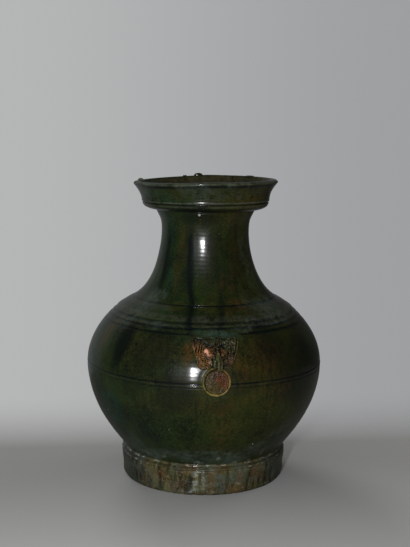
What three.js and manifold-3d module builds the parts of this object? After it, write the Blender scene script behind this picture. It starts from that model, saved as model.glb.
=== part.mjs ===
// A green-glazed earthenware hu: a round jar with a ring foot, a concave neck and a dished mouth,
// thrown in sections that are joined with slip, with a mask and mock ring on two opposite sides.
// Millimetres, +Z up. The origin is the centre of the foot's base, and the front mask faces -Y.

import * as THREE from "three";
import { mergeVertices } from "three/addons/utils/BufferGeometryUtils.js";
import Module from "manifold-3d";

const wasm = await Module();
wasm.setup();

// Heights of the sections, each counted from the one below it.
const footHeight = 29;
const footBeadHeight = 5.8; // the slip bead that hides the bowl's seat on the foot
const bowlRise = 100.2; // from the bead to the widest part
const shoulderRise = 74.5; // from the widest part to where the shoulder turns into the neck
const neckRise = 77; // from there to the neck's waist
const flareRise = 27.1; // from the waist to the mouth cup
const cupHeight = 36.4;

// Outside radii, and how far their neighbours stand in or out from them.
const footTopRadius = 97.2;
const footTaper = 2.3; // the foot's base is narrower than its top
const footLedge = 5; // the bowl's base stands in from the foot's top
const bellyRadius = 138.3;
const shoulderRadius = 89.4;
const neckRadius = 51.5;
const neckFlare = 6.7; // from the waist to the top of the neck
const cupOverhang = 15.2; // from the top of the neck to the wall of the cup
const lipFlare = 10; // from the wall of the cup to the lip

// Walls, seams and edges.
const footWall = 10;
const footEdge = 1.7; // worn bevel round the foot's base
const seatDepth = 1.6; // the bowl's seat stands in from its base by this
const floorThickness = 9;
const floorCornerRise = 6; // the wall starts to round into the floor at this height over it
const bowlWall = 8.6;
const shoulderWall = 8;
const neckWall = 7;
const cupWall = 6.8;
const lipLand = 2.8; // width of the flat top of the lip
const lipBevel = 3.2; // width of the rounded edge outside the land
const lipBevelHeight = 4.6;
const lipInnerEdge = 1.4;
const footInnerEdge = 1.2;
const seam = 1.4; // thickness of each slip seam
const seamBulge = 1.6; // how far squeezed-out slip stands into the inside
const slipInset = 0.5; // the foot's slip starts this far outside the foot's bore
const fit = 0.3; // gap between curved faces that meet

// Incised lines, by their distance from the place they belong to.
const shoulderLineDrops = [11.5, 16.2, 21.4]; // below the turn of the shoulder
const shoulderLineDepth = 1.1;
const shoulderRidge = 0.6; // height of the raised bands between those lines
const bellyLineOffset = 2.4; // above and below the belly seam
const bellyLineDepth = 0.8;
const lineHalfWidth = 1.3;
const bellySeamRise = 1.8; // the belly seam is this far above the widest part
const neckSeamRise = 3.4; // the neck seam is this far above the turn of the shoulder
const neckLineDepth = 0.7; // the neck seam lies this deep in its incised line
const cupLineRise = 10.5; // the line above the underside of the cup
const cupLineDepth = 0.8;
const cupRidge = 0.6; // how far the wall above that line stands out

// Mask and ring. Their relief is measured square to the wall.
const maskWidth = 51;
const maskFootWidth = 40.6;
const maskLength = 34.6; // from the mask's top to the tip of its nose
const maskTopDrop = 1.6; // below the lowest line of the shoulder
const maskPlate = 1.5;
const noseWidth = 10.8;
const noseRelief = 5.3;
const browRelief = 1.7;
const eyeRelief = 2.2;
const cheekRelief = 1.5;
const earRelief = 1.3;
const borderRelief = 0.7;
const borderInset = 1.4; // middle of the raised border, from the mask's edge
const browHeight = 1.9; // how far each relief spreads from its middle, and where it lies
const browEnd = 18;
const eyeSpacing = 14.2;
const eyeHalfWidth = 4.2;
const eyeHalfHeight = 3.1;
const cheekAcross = 14.8;
const cheekSpread = 4.4;
const earAcross = 19;
const earSpread = 4.6;
const crestSpread = 4.2;
const ringRadius = 15.6;
const ringBand = 3.4;
const ringRelief = 2.5;
const ringDisc = 0.95; // the thin clay that fills the ring
const noseOverRing = 5.3; // how far the tip of the nose reaches past the ring's top

// Drops of glaze and kiln grit on top of the lip: width along the rim, depth, height, and where.
const rimLumps = [
  { name: "rim_drop_large", width: 10.8, depth: 3.6, height: 3, bearing: 91 },
  { name: "rim_drop_small", width: 5, depth: 2.8, height: 1.4, bearing: 103.5 },
  { name: "rim_drop_thin", width: 11.5, depth: 2.4, height: 0.9, bearing: 42 },
  { name: "rim_grit", width: 6.4, depth: 4.4, height: 2, bearing: 161 },
];

const segments = 48; // sides of every turned piece
const traceSteps = 60; // points that each outline curve is traced with
const domeSegments = 14; // sides of a drop or a lump of grit
const lineClearance = 1.6 * lineHalfWidth; // plain points keep this far from an incised line

const footBaseRadius = footTopRadius - footTaper;
const bowlBaseRadius = footTopRadius - footLedge;
const neckTopRadius = neckRadius + neckFlare;
const cupRadius = neckTopRadius + cupOverhang;
const lipRadius = cupRadius + lipFlare;

const beadTop = footHeight + footBeadHeight;
const bellyHeight = beadTop + bowlRise;
const shoulderHeight = bellyHeight + shoulderRise;
const waistHeight = shoulderHeight + neckRise;
const cupBase = waistHeight + flareRise;
const lipHeight = cupBase + cupHeight;
const bellySeam = bellyHeight + bellySeamRise;
const neckSeam = shoulderHeight + neckSeamRise;

const glazeDark = { color: 0x2a3018, roughness: 0.2, metalness: 0 };
const glazeBrown = { color: 0x3a2c16, roughness: 0.28, metalness: 0 };
const glazeAmber = { color: 0x4a3216, roughness: 0.3, metalness: 0 };
const glazeDrop = { color: 0x1c2414, roughness: 0.12, metalness: 0 };
const slipPale = { color: 0x6a6450, roughness: 0.7, metalness: 0 };
const gritPale = { color: 0x4c4a40, roughness: 0.6, metalness: 0 };

function point(radius, height) {
  return new THREE.Vector2(radius, height);
}

// The outline of the jar's body from the foot bead up to the cup, in four curves.
function outlineCurves() {
  const belly = point(bellyRadius, bellyHeight);
  const turn = point(shoulderRadius, shoulderHeight);
  const waist = point(neckRadius, waistHeight);
  const top = point(neckTopRadius, cupBase);
  const draw = 0.861 * (shoulderRadius - neckRadius); // reach of the neck curve's lower handle
  const lift = 0.19 * neckRise;
  const turnSlope = draw / lift;
  const easing = 0.025 * shoulderRise;
  return [
    new THREE.CubicBezierCurve(
      point(bowlBaseRadius, beadTop),
      point(bowlBaseRadius + 0.907 * (bellyRadius - bowlBaseRadius), beadTop + 0.467 * bowlRise),
      point(bellyRadius, bellyHeight - 0.19 * bowlRise),
      belly,
    ),
    new THREE.CubicBezierCurve(
      belly,
      point(bellyRadius, bellyHeight + 0.604 * shoulderRise),
      point(shoulderRadius + turnSlope * easing, shoulderHeight - easing),
      turn,
    ),
    new THREE.CubicBezierCurve(
      turn,
      point(shoulderRadius - draw, shoulderHeight + lift),
      point(neckRadius, waistHeight - 0.136 * neckRise),
      waist,
    ),
    new THREE.CubicBezierCurve(
      waist,
      point(neckRadius, waistHeight + 0.62 * flareRise),
      point(neckTopRadius - 0.68 * (neckTopRadius - neckRadius), cupBase - 0.37 * flareRise),
      top,
    ),
  ];
}

// The body's outline moved square to itself by a wall's thickness, as points from the bottom up.
function tracedOutline(wall) {
  const points = [];
  for (const curve of outlineCurves()) {
    for (let step = points.length ? 1 : 0; step <= traceSteps; step += 1) {
      const at = curve.getPoint(step / traceSteps);
      const along = curve.getTangent(step / traceSteps);
      points.push(point(at.x - wall * along.y, at.y + wall * along.x));
    }
  }
  return points;
}

const outside = tracedOutline(0);

function radiusAt(outline, height) {
  let k = 1;
  while (k < outline.length - 1 && outline[k].y < height) k += 1;
  const a = outline[k - 1];
  const b = outline[k];
  return a.x + ((b.x - a.x) * (height - a.y)) / (b.y - a.y);
}

// Heights that cut the stretch of an outline between two heights into pieces of even length.
function evenHeights(outline, low, high, pieces) {
  const within = outline.filter((p) => p.y > low && p.y < high);
  const ends = [low, high].map((height) => point(radiusAt(outline, height), height));
  const run = [ends[0], ...within, ends[1]];
  const lengths = [0];
  for (let k = 1; k < run.length; k += 1) {
    lengths.push(lengths[k - 1] + run[k].distanceTo(run[k - 1]));
  }
  const total = lengths[lengths.length - 1];
  const heights = [low];
  for (let piece = 1; piece < pieces; piece += 1) {
    const wanted = (total * piece) / pieces;
    const k = lengths.findIndex((length) => length >= wanted);
    const share = (wanted - lengths[k - 1]) / (lengths[k] - lengths[k - 1]);
    heights.push(run[k - 1].y + share * (run[k].y - run[k - 1].y));
  }
  return [...heights, high];
}

// The outside of a section with its incised lines: each is a V cut, and a band stands up beside it.
function outsideRun(low, high, pieces, lines = [], bands = []) {
  const marks = lines.map((line) => line.height);
  const near = (height) => marks.some((mark) => Math.abs(mark - height) < lineClearance);
  const plain = evenHeights(outside, low, high, pieces).filter(
    (height) => height === low || height === high || !near(height),
  );
  const run = plain.map((height) => point(radiusAt(outside, height), height));
  for (const line of lines) {
    for (const side of [-1, 0, 1]) {
      const height = line.height + side * lineHalfWidth;
      const cut = side === 0 ? line.depth : 0;
      if (height > low && height < high) {
        run.push(point(radiusAt(outside, height) - cut, height));
      }
    }
  }
  for (const band of bands) {
    run.push(point(radiusAt(outside, band.height) + band.rise, band.height));
  }
  return run.sort((a, b) => a.y - b.y);
}

function insideRun(wall, high, low, pieces) {
  const outline = tracedOutline(wall);
  return evenHeights(outline, low, high, pieces)
    .map((height) => point(radiusAt(outline, height), height))
    .reverse();
}

// A turned piece. Its section is a closed run of points, anticlockwise with the radius to the right.
function turned(name, section, look) {
  const geometry = new THREE.LatheGeometry([...section, section[0].clone()], segments);
  geometry.rotateX(Math.PI / 2);
  const mesh = new THREE.Mesh(geometry, new THREE.MeshStandardMaterial(look));
  mesh.name = name;
  return mesh;
}

function footRing() {
  const bore = footTopRadius - footWall;
  return turned(
    "foot_ring",
    [
      point(bore + footInnerEdge, 0),
      point(footBaseRadius - footEdge, 0),
      point(footBaseRadius, footEdge * 1.4),
      point(footBaseRadius + 0.3 * footTaper, footHeight * 0.45),
      point(footTopRadius, footHeight * 0.9),
      point(footTopRadius - 0.13 * footTaper, footHeight),
      point(bore, footHeight),
      point(bore, footInnerEdge * 1.5),
    ],
    glazeAmber,
  );
}

// Radius of the short upright stretch of the bowl that the foot's slip bead runs round.
const seatRadius = bowlBaseRadius - seatDepth;

function footSlip() {
  const inner = seatRadius + fit;
  const start = footTopRadius - footWall + slipInset;
  const rise = footBeadHeight;
  const reach = footLedge;
  return turned(
    "foot_slip",
    [
      point(start, footHeight),
      point(bowlBaseRadius + 0.88 * reach, footHeight),
      point(bowlBaseRadius + 0.98 * reach, footHeight + 0.2 * rise),
      point(bowlBaseRadius + 0.72 * reach, footHeight + 0.4 * rise),
      point(bowlBaseRadius + 0.3 * reach, footHeight + 0.6 * rise),
      point(bowlBaseRadius + 0.24 * reach, footHeight + 0.9 * rise),
      point(bowlBaseRadius + 0.02 * reach, beadTop),
      point(inner, beadTop),
      point(inner, footHeight + seam),
      point(start, footHeight + seam),
    ],
    slipPale,
  );
}

function lowerBelly() {
  const base = footHeight + seam;
  const floorTop = base + floorThickness;
  const rim = bellySeam - seam / 2;
  const lines = [{ height: bellySeam - bellyLineOffset, depth: bellyLineDepth }];
  const inside = insideRun(bowlWall, rim, floorTop + floorCornerRise, 8);
  const [next, lowest] = inside.slice(-2);
  const lean = (next.x - lowest.x) / (next.y - lowest.y);
  const corner = new THREE.QuadraticBezierCurve(
    lowest,
    point(lowest.x - lean * floorCornerRise, floorTop),
    point(0.8 * lowest.x, floorTop),
  );
  return turned(
    "lower_belly",
    [
      point(0, base),
      point(seatRadius, base),
      point(seatRadius, beadTop),
      ...outsideRun(beadTop, rim, 11, lines),
      ...inside,
      ...corner.getPoints(3).slice(1),
      point(0, floorTop),
    ],
    glazeDark,
  );
}

function upperBelly() {
  const low = bellySeam + seam / 2;
  const high = neckSeam - seam / 2;
  const lines = shoulderLineDrops.map((drop) => {
    return { height: shoulderHeight - drop, depth: shoulderLineDepth };
  });
  lines.push({ height: bellySeam + bellyLineOffset, depth: bellyLineDepth });
  const bands = [];
  for (let k = 1; k < shoulderLineDrops.length; k += 1) {
    const drop = (shoulderLineDrops[k] + shoulderLineDrops[k - 1]) / 2;
    bands.push({ height: shoulderHeight - drop, rise: shoulderRidge });
  }
  return turned(
    "upper_belly",
    [...outsideRun(low, high, 12, lines, bands), ...insideRun(shoulderWall, high, low, 9)],
    glazeDark,
  );
}

function neck() {
  const low = neckSeam + seam / 2;
  const high = cupBase - seam / 2;
  const section = [...outsideRun(low, high, 12), ...insideRun(neckWall, high, low, 7)];
  return turned("neck", section, glazeDark);
}

// A thin ring of slip between two sections, with a rounded squeeze of slip on the inside.
function slipSeam(name, height, wall, setBack) {
  const low = height - seam / 2;
  const high = height + seam / 2;
  const inside = tracedOutline(wall);
  return turned(
    name,
    [
      point(radiusAt(outside, low) - setBack, low),
      point(radiusAt(outside, high) - setBack, high),
      point(radiusAt(inside, high), high),
      point(radiusAt(inside, height) - seamBulge, height),
      point(radiusAt(inside, low), low),
    ],
    slipPale,
  );
}

function mouthCup() {
  const low = cupBase + seam / 2;
  const bore = radiusAt(tracedOutline(neckWall), cupBase);
  const innerWall = cupRadius - cupWall;
  const landOuter = lipRadius - lipBevel;
  const landInner = landOuter - lipLand;
  const line = cupBase + cupLineRise;
  const wallRise = lipHeight - line;
  const flare = lipFlare;
  const shelf = line - low;
  const section = new THREE.Path();
  section.moveTo(radiusAt(outside, low), low);
  section.quadraticCurveTo(cupRadius - 0.16 * flare, low, cupRadius, line - lineHalfWidth);
  section.lineTo(cupRadius - cupLineDepth, line);
  section.lineTo(cupRadius + cupRidge, line + lineHalfWidth);
  section.lineTo(cupRadius + cupRidge, line + 0.12 * wallRise);
  section.bezierCurveTo(
    cupRadius + cupRidge, line + 0.37 * wallRise,
    lipRadius - 0.62 * flare, lipHeight - 0.4 * wallRise,
    lipRadius, lipHeight - 1.2 * lipBevelHeight,
  );
  section.lineTo(lipRadius, lipHeight - lipBevelHeight);
  section.quadraticCurveTo(
    lipRadius - 0.3 * lipBevel, lipHeight - 0.35 * lipBevelHeight,
    landOuter, lipHeight,
  );
  section.lineTo(landInner, lipHeight);
  section.lineTo(landInner - lipInnerEdge, lipHeight - lipInnerEdge);
  section.bezierCurveTo(
    innerWall + 0.5 * flare, lipHeight - 0.55 * wallRise,
    innerWall + 0.1 * flare, line + 0.24 * wallRise,
    innerWall - 0.1 * flare, line,
  );
  section.quadraticCurveTo(innerWall - 0.4 * flare, low + 0.4 * shelf, bore, low);
  return turned("mouth_cup", section.getPoints(4), glazeDark);
}

// A place on the belly's wall: across is the distance round from the front's middle, and out is the
// distance square to the wall.
const maskTop = shoulderHeight - shoulderLineDrops[shoulderLineDrops.length - 1] - maskTopDrop;
const noseTip = maskTop - maskLength;
const ringCentre = noseTip + noseOverRing - ringRadius;

function onWall(across, height, out) {
  const slope = (radiusAt(outside, height + 1) - radiusAt(outside, height - 1)) / 2;
  const tilt = Math.hypot(1, slope);
  const radius = radiusAt(outside, height) + out / tilt;
  const turn = across / radiusAt(outside, height);
  return new THREE.Vector3(
    radius * Math.sin(turn),
    -radius * Math.cos(turn),
    height - (out * slope) / tilt,
  );
}

function solidOf(geometry) {
  const bare = geometry.clone();
  for (const name of Object.keys(bare.attributes)) {
    if (name !== "position") bare.deleteAttribute(name);
  }
  const merged = mergeVertices(bare, 1e-4);
  return new wasm.Manifold(
    new wasm.Mesh({
      numProp: 3,
      vertProperties: merged.attributes.position.array,
      triVerts: new Uint32Array(merged.index.array),
    }),
  );
}

function geometryOf(solid) {
  const mesh = solid.getMesh();
  return new THREE.BufferGeometry()
    .setAttribute("position", new THREE.BufferAttribute(mesh.vertProperties, 3))
    .setIndex(new THREE.BufferAttribute(mesh.triVerts, 1));
}

function bump(distance, width) {
  return Math.exp(-((distance / width) ** 2));
}

function smoothStep(from, to, value) {
  return THREE.MathUtils.smoothstep((value - from) / (to - from), 0, 1);
}

// Half of the mask's width at a height: it narrows towards the cheeks.
function maskHalfWidth(height) {
  const share = (maskTop - height) / (0.75 * maskLength);
  return maskWidth / 2 - (share * (maskWidth - maskFootWidth)) / 2;
}

// The mask's relief: brows, eyes, nose, cheeks and ears on a plate.
function maskRelief(across, height) {
  const side = Math.abs(across);
  const down = (maskTop - height) / maskLength; // 0 at the top, 1 at the tip of the nose
  const browLine = 0.27 + 0.0011 * (side - 8.5) ** 2;
  const browFade = smoothStep(browEnd, 0.72 * browEnd, side);
  const brow = browRelief * bump((down - browLine) * maskLength, browHeight) * browFade;
  const eyeAcross = (side - eyeSpacing / 2) / eyeHalfWidth;
  const eyeDown = ((down - 0.49) * maskLength) / eyeHalfHeight;
  const eye = eyeRelief * Math.sqrt(Math.max(0, 1 - eyeAcross ** 2 - eyeDown ** 2));
  const noseHalf = 0.5 * noseWidth * (0.42 + 0.58 * smoothStep(0.5, 0.95, down));
  const noseShape = Math.max(0, 1 - (across / noseHalf) ** 4);
  const nose = (noseRelief - maskPlate) * noseShape * smoothStep(0.3, 0.62, down);
  const cheekDown = (down - 0.64) * maskLength;
  const cheek = cheekRelief * bump(Math.hypot(side - cheekAcross, cheekDown), cheekSpread);
  const earDown = (down - 0.12) * maskLength;
  const ear = earRelief * bump(Math.hypot(side - earAcross, earDown), earSpread);
  const crest = earRelief * bump(Math.hypot(across, earDown), crestSpread);
  const edge = maskHalfWidth(height) - side - borderInset;
  const border = borderRelief * bump(edge, borderInset) * smoothStep(0.95, 0.8, down);
  return maskPlate + Math.max(nose, eye, brow + crest, cheek, ear) + border;
}

// A closed slab bent on to the wall, over a grid of places, with a relief in front and a plain back.
function reliefSlab(columns, rows, frontOut, backOut) {
  const wide = columns.length;
  const positions = [];
  for (const out of [frontOut, backOut]) {
    for (const height of rows) {
      for (const across of columns) {
        positions.push(...onWall(across, height, out(across, height)));
      }
    }
  }
  const back = wide * rows.length;
  const index = [];
  const quad = (a, b, c, d) => index.push(a, b, c, a, c, d);
  // The cells split along opposite diagonals left and right of the middle, so the relief stays even.
  for (let row = 0; row < rows.length - 1; row += 1) {
    for (let column = 0; column < wide - 1; column += 1) {
      const a = row * wide + column;
      const b = a + 1;
      if (column < (wide - 1) / 2) quad(b, b + wide, a + wide, a);
      else quad(a, b, b + wide, a + wide);
      quad(back + a, back + a + wide, back + b + wide, back + b);
    }
  }
  const last = (rows.length - 1) * wide;
  for (let column = 0; column < wide - 1; column += 1) {
    quad(column, back + column, back + column + 1, column + 1);
    quad(last + column + 1, back + last + column + 1, back + last + column, last + column);
  }
  for (let row = 0; row < rows.length - 1; row += 1) {
    const a = row * wide;
    const b = a + wide - 1;
    quad(a + wide, back + a + wide, back + a, a);
    quad(b, back + b, back + b + wide, b + wide);
  }
  return new THREE.BufferGeometry()
    .setAttribute("position", new THREE.Float32BufferAttribute(positions, 3))
    .setIndex(index);
}

function evenSteps(from, to, count) {
  return Array.from({ length: count + 1 }, (_, step) => from + ((to - from) * step) / count);
}

// The mask's outline, looking at its front: a crown of three low points, sides that draw in, a round
// cheek on each side of the ring and the nose's tongue between them.
function maskOutline() {
  const top = maskWidth / 2;
  const foot = maskFootWidth / 2;
  const cheekTop = maskTop - 0.72 * maskLength;
  const cheekEnd = maskTop - 0.91 * maskLength;
  const notch = maskTop - 0.83 * maskLength;
  const shape = new THREE.Shape();
  shape.moveTo(0, maskTop + 0.6);
  shape.quadraticCurveTo(-0.2 * maskWidth, maskTop - 1.2, -0.36 * maskWidth, maskTop + 0.4);
  shape.quadraticCurveTo(-top, maskTop + 1, -top, maskTop - 2);
  shape.lineTo(-foot, cheekTop);
  shape.quadraticCurveTo(-foot + 0.6, cheekEnd, -0.76 * foot, cheekEnd);
  shape.quadraticCurveTo(-0.6 * foot, cheekEnd, -0.4 * foot, notch);
  shape.lineTo(-noseWidth / 2, notch);
  shape.quadraticCurveTo(-noseWidth / 2, noseTip, 0, noseTip);
  shape.quadraticCurveTo(noseWidth / 2, noseTip, noseWidth / 2, notch);
  shape.lineTo(0.4 * foot, notch);
  shape.quadraticCurveTo(0.6 * foot, cheekEnd, 0.76 * foot, cheekEnd);
  shape.quadraticCurveTo(foot - 0.6, cheekEnd, foot, cheekTop);
  shape.lineTo(top, maskTop - 2);
  shape.quadraticCurveTo(top, maskTop + 1, 0.36 * maskWidth, maskTop + 0.4);
  shape.quadraticCurveTo(0.2 * maskWidth, maskTop - 1.2, 0, maskTop + 0.6);
  return shape;
}

// The ring and its disc, or a copy of them that is larger all over by the given margin.
function ringGeometry(margin) {
  const spokes = 24;
  const outer = ringRadius + margin;
  const mid = ringRadius - ringBand / 2;
  const half = ringBand / 2 + margin;
  const disc = ringDisc + margin;
  const back = margin ? -1 : fit;
  const across = [-1, -0.75, -0.3, 0.3, 0.75, 1];
  const rings = [
    { radius: 0.5 * mid, out: disc },
    ...across.map((share) => ({
      radius: mid + share * half,
      out: disc + (ringRelief - ringDisc) * Math.sqrt(1 - share * share),
    })),
    { radius: outer, out: back },
    { radius: 0.5 * mid, out: back },
  ];
  const positions = [];
  const place = (radius, angle, out) => {
    const height = ringCentre + radius * Math.sin(angle);
    positions.push(...onWall(radius * Math.cos(angle), height, out));
  };
  for (const ring of rings) {
    for (let spoke = 0; spoke < spokes; spoke += 1) {
      place(ring.radius, (2 * Math.PI * spoke) / spokes, ring.out);
    }
  }
  place(0, 0, disc);
  place(0, 0, back);
  const index = [];
  const frontCentre = rings.length * spokes;
  const backCentre = frontCentre + 1;
  for (let spoke = 0; spoke < spokes; spoke += 1) {
    const next = (spoke + 1) % spokes;
    index.push(frontCentre, spoke, next);
    for (let ring = 0; ring < rings.length - 1; ring += 1) {
      const a = ring * spokes + spoke;
      const b = ring * spokes + next;
      index.push(a, a + spokes, b + spokes, a, b + spokes, b);
    }
    const lastRing = (rings.length - 1) * spokes;
    index.push(backCentre, lastRing + next, lastRing + spoke);
  }
  return new THREE.BufferGeometry()
    .setAttribute("position", new THREE.Float32BufferAttribute(positions, 3))
    .setIndex(index);
}

function maskGeometry() {
  const reach = maskWidth / 2 + 1;
  const rows = evenSteps(noseTip - 1, maskTop + 1.6, 15);
  const columns = evenSteps(-reach, reach, 20);
  const slab = solidOf(reliefSlab(columns, rows, maskRelief, () => fit));
  const walls = { depth: 1, bevelEnabled: false, curveSegments: 4 };
  const curtain = new THREE.ExtrudeGeometry(maskOutline(), walls);
  const corners = curtain.attributes.position;
  for (let k = 0; k < corners.count; k += 1) {
    const out = corners.getZ(k) > 0.5 ? 2.5 * noseRelief : -1.5 * noseRelief;
    corners.setXYZ(k, ...onWall(corners.getX(k), corners.getY(k), out));
  }
  return geometryOf(slab.intersect(solidOf(curtain)).subtract(solidOf(ringGeometry(fit))));
}

function sprig(name, geometry, look) {
  const mesh = new THREE.Mesh(geometry, new THREE.MeshStandardMaterial(look));
  mesh.name = name;
  return mesh;
}

function arcPoint(turn) {
  return point(Math.cos(turn), Math.sin(turn));
}

// A low dome of glaze or grit, flat below, that stands on the lip's land.
function rimLump(lump) {
  const arc = evenSteps(0, Math.PI / 2, 4).slice(0, -1).map(arcPoint);
  const geometry = new THREE.LatheGeometry([point(0, 0), ...arc, point(0, 1)], domeSegments);
  geometry.rotateX(Math.PI / 2);
  geometry.scale(lump.depth / 2, lump.width / 2, lump.height);
  const look = lump.name === "rim_grit" ? gritPale : glazeDrop;
  const mesh = sprig(lump.name, geometry, look);
  const bearing = THREE.MathUtils.degToRad(lump.bearing);
  const radius = lipRadius - lipBevel - lipLand / 2;
  mesh.position.set(radius * Math.cos(bearing), radius * Math.sin(bearing), lipHeight);
  mesh.rotation.z = bearing;
  return mesh;
}

const vase = new THREE.Group();
vase.add(
  footRing(),
  footSlip(),
  lowerBelly(),
  slipSeam("belly_slip", bellySeam, bowlWall, 0),
  upperBelly(),
  slipSeam("neck_slip", neckSeam, neckWall, neckLineDepth),
  neck(),
  slipSeam("mouth_slip", cupBase, neckWall, 0),
  mouthCup(),
);

const maskShape = maskGeometry();
const ringShape = ringGeometry(0);
for (const [side, turn] of [["front", 0], ["back", Math.PI]]) {
  const group = new THREE.Group();
  group.rotation.z = turn;
  group.add(sprig(side + "_mask", maskShape, glazeBrown));
  group.add(sprig(side + "_ring", ringShape, glazeAmber));
  vase.add(group);
}

for (const lump of rimLumps) vase.add(rimLump(lump));

export default vase;
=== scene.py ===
# A green-glazed earthenware hu with a mask and a mock ring on two sides: its worked surfaces and its glaze.
# Lengths are in millimetres until a mesh is filled. turn is the angle round the jar from its front, in
# radians.

import math

import bpy
import numpy as np
from mathutils import Matrix, Vector


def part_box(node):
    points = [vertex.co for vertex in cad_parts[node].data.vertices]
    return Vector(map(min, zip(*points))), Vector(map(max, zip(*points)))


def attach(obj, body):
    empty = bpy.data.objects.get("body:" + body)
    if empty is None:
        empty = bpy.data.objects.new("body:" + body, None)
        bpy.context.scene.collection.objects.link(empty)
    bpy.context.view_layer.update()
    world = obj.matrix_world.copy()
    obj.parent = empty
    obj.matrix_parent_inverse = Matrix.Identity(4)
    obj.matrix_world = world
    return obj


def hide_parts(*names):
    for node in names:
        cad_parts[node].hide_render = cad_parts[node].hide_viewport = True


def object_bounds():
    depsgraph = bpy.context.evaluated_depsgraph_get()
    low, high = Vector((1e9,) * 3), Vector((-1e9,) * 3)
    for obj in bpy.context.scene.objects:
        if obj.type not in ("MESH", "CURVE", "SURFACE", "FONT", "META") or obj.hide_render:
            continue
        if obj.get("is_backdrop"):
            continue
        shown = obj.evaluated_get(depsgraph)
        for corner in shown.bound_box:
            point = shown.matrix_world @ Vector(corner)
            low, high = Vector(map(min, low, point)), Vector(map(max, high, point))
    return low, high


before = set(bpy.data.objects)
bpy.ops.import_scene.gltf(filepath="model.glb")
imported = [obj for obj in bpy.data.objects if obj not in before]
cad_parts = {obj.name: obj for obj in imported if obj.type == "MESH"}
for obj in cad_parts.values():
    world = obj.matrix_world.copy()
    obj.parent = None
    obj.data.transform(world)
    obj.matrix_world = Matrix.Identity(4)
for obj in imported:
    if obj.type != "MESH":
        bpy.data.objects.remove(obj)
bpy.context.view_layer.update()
mm = 0.001


def corner(node, end, axis):
    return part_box(node)[end][axis] / mm


def middle(node):
    return (corner(node, 0, 2) + corner(node, 1, 2)) / 2


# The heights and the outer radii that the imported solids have, the outline's own turning points, and where
# the glaze ends inside the neck.
jar = {
    "segments": 576,
    "footTop": corner("foot_ring", 1, 2),
    "footRadius": corner("foot_ring", 1, 0),
    "beadTop": corner("foot_slip", 1, 2),
    "bellySeam": middle("belly_slip"),
    "bellyRadius": corner("lower_belly", 1, 0),
    "neckSeam": middle("neck_slip"),
    "cupBase": middle("mouth_slip"),
    "lip": corner("mouth_cup", 1, 2),
    "lipRadius": corner("mouth_cup", 1, 0),
    "seam": 1.4,
    "bowlBase": 92.2,
    "bellyBelowSeam": 1.8,
    "shoulder": 89.4,
    "shoulderBelowSeam": 3.4,
    "neck": 51.5,
    "neckWall": 7,
    "waistBelowCup": 27.1,
    "glazeEnds": 262,
    "glazeRags": 14,
    "neckTop": 58.2,
    "cup": 73.4,
    "ringHeight": 141.6,
}
jar["bellyHeight"] = jar["bellySeam"] - jar["bellyBelowSeam"]
jar["shoulderHeight"] = jar["neckSeam"] - jar["shoulderBelowSeam"]
jar["waistHeight"] = jar["cupBase"] - jar["waistBelowCup"]
halfSeam = jar["seam"] / 2
turns = np.linspace(0, 2 * np.pi, jar["segments"], endpoint=False)[None, :]


def ease(low, high, value):
    share = np.clip((value - low) / (high - low), 0, 1)
    return share * share * (3 - 2 * share)


def bump(distance, width):
    return np.exp(-((distance / width) ** 2))


def between(a, b, share):
    return a + (b - a) * share


# A smooth random field over the wall, from about -1 to 1. Random values lie on a lattice that closes
# round the jar, each eased into the next, and each finer lattice counts half as much as the one before.
def drift(turn, height, cells, tall, seed, octaves=2):
    lowest, span = -40, 460  # heights that the lattice covers
    total, strength = 0.0, 1.0
    for octave in range(octaves):
        wide, deep = cells * 2**octave, tall / 2**octave
        lattice = np.random.RandomState(seed + 97 * octave).uniform(-1, 1, (int(span / deep) + 3, wide))
        along, up = (turn / (2 * np.pi)) % 1.0 * wide, (height - lowest) / deep
        col, row = np.floor(along).astype(int), np.floor(up).astype(int)
        a, b = ease(0, 1, along - col), ease(0, 1, up - row)
        left, right = col % wide, (col + 1) % wide
        low = between(lattice[row, left], lattice[row, right], a)
        high = between(lattice[row + 1, left], lattice[row + 1, right], a)
        total = total + strength * between(low, high, b)
        strength /= 2
    return total


# The same along one line round the jar.
def waver(turn, cells, seed, octaves=2):
    return drift(turn, 0 * turn, cells, 50, seed, octaves)


# Cubic curve through its end points, pulled by two handles, with its direction at each step.
def bezier(a, b, c, d, steps=200):
    t = np.linspace(0, 1, steps)[:, None]
    a, b, c, d = (np.array(p, float) for p in (a, b, c, d))
    place = (1 - t) ** 3 * a + 3 * (1 - t) ** 2 * t * b + 3 * (1 - t) * t**2 * c + t**3 * d
    along = (1 - t) ** 2 * (b - a) + 2 * (1 - t) * t * (c - b) + t**2 * (d - c)
    return place, along / np.linalg.norm(along, axis=1)[:, None]


# The jar's outline in four curves, from the foot's bead to the cup, as radius and height.
def outlineCurves():
    base = jar["bowlBase"], jar["beadTop"]
    belly = jar["bellyRadius"], jar["bellyHeight"]
    bend = jar["shoulder"], jar["shoulderHeight"]
    waist = jar["neck"], jar["waistHeight"]
    top = jar["neckTop"], jar["cupBase"]
    bowlRise, shoulderRise = belly[1] - base[1], bend[1] - belly[1]
    neckRise, flareRise = waist[1] - bend[1], top[1] - waist[1]
    draw, lift = 0.861 * (bend[0] - waist[0]), 0.19 * neckRise
    easing = 0.025 * shoulderRise
    return [
        (base, (between(base[0], belly[0], 0.907), base[1] + 0.467 * bowlRise),
         (belly[0], belly[1] - 0.19 * bowlRise), belly),
        (belly, (belly[0], belly[1] + 0.604 * shoulderRise),
         (bend[0] + draw / lift * easing, bend[1] - easing), bend),
        (bend, (bend[0] - draw, bend[1] + lift), (waist[0], waist[1] - 0.136 * neckRise), waist),
        (waist, (waist[0], waist[1] + 0.62 * flareRise),
         (between(top[0], waist[0], 0.68), top[1] - 0.37 * flareRise), top),
    ]


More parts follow.
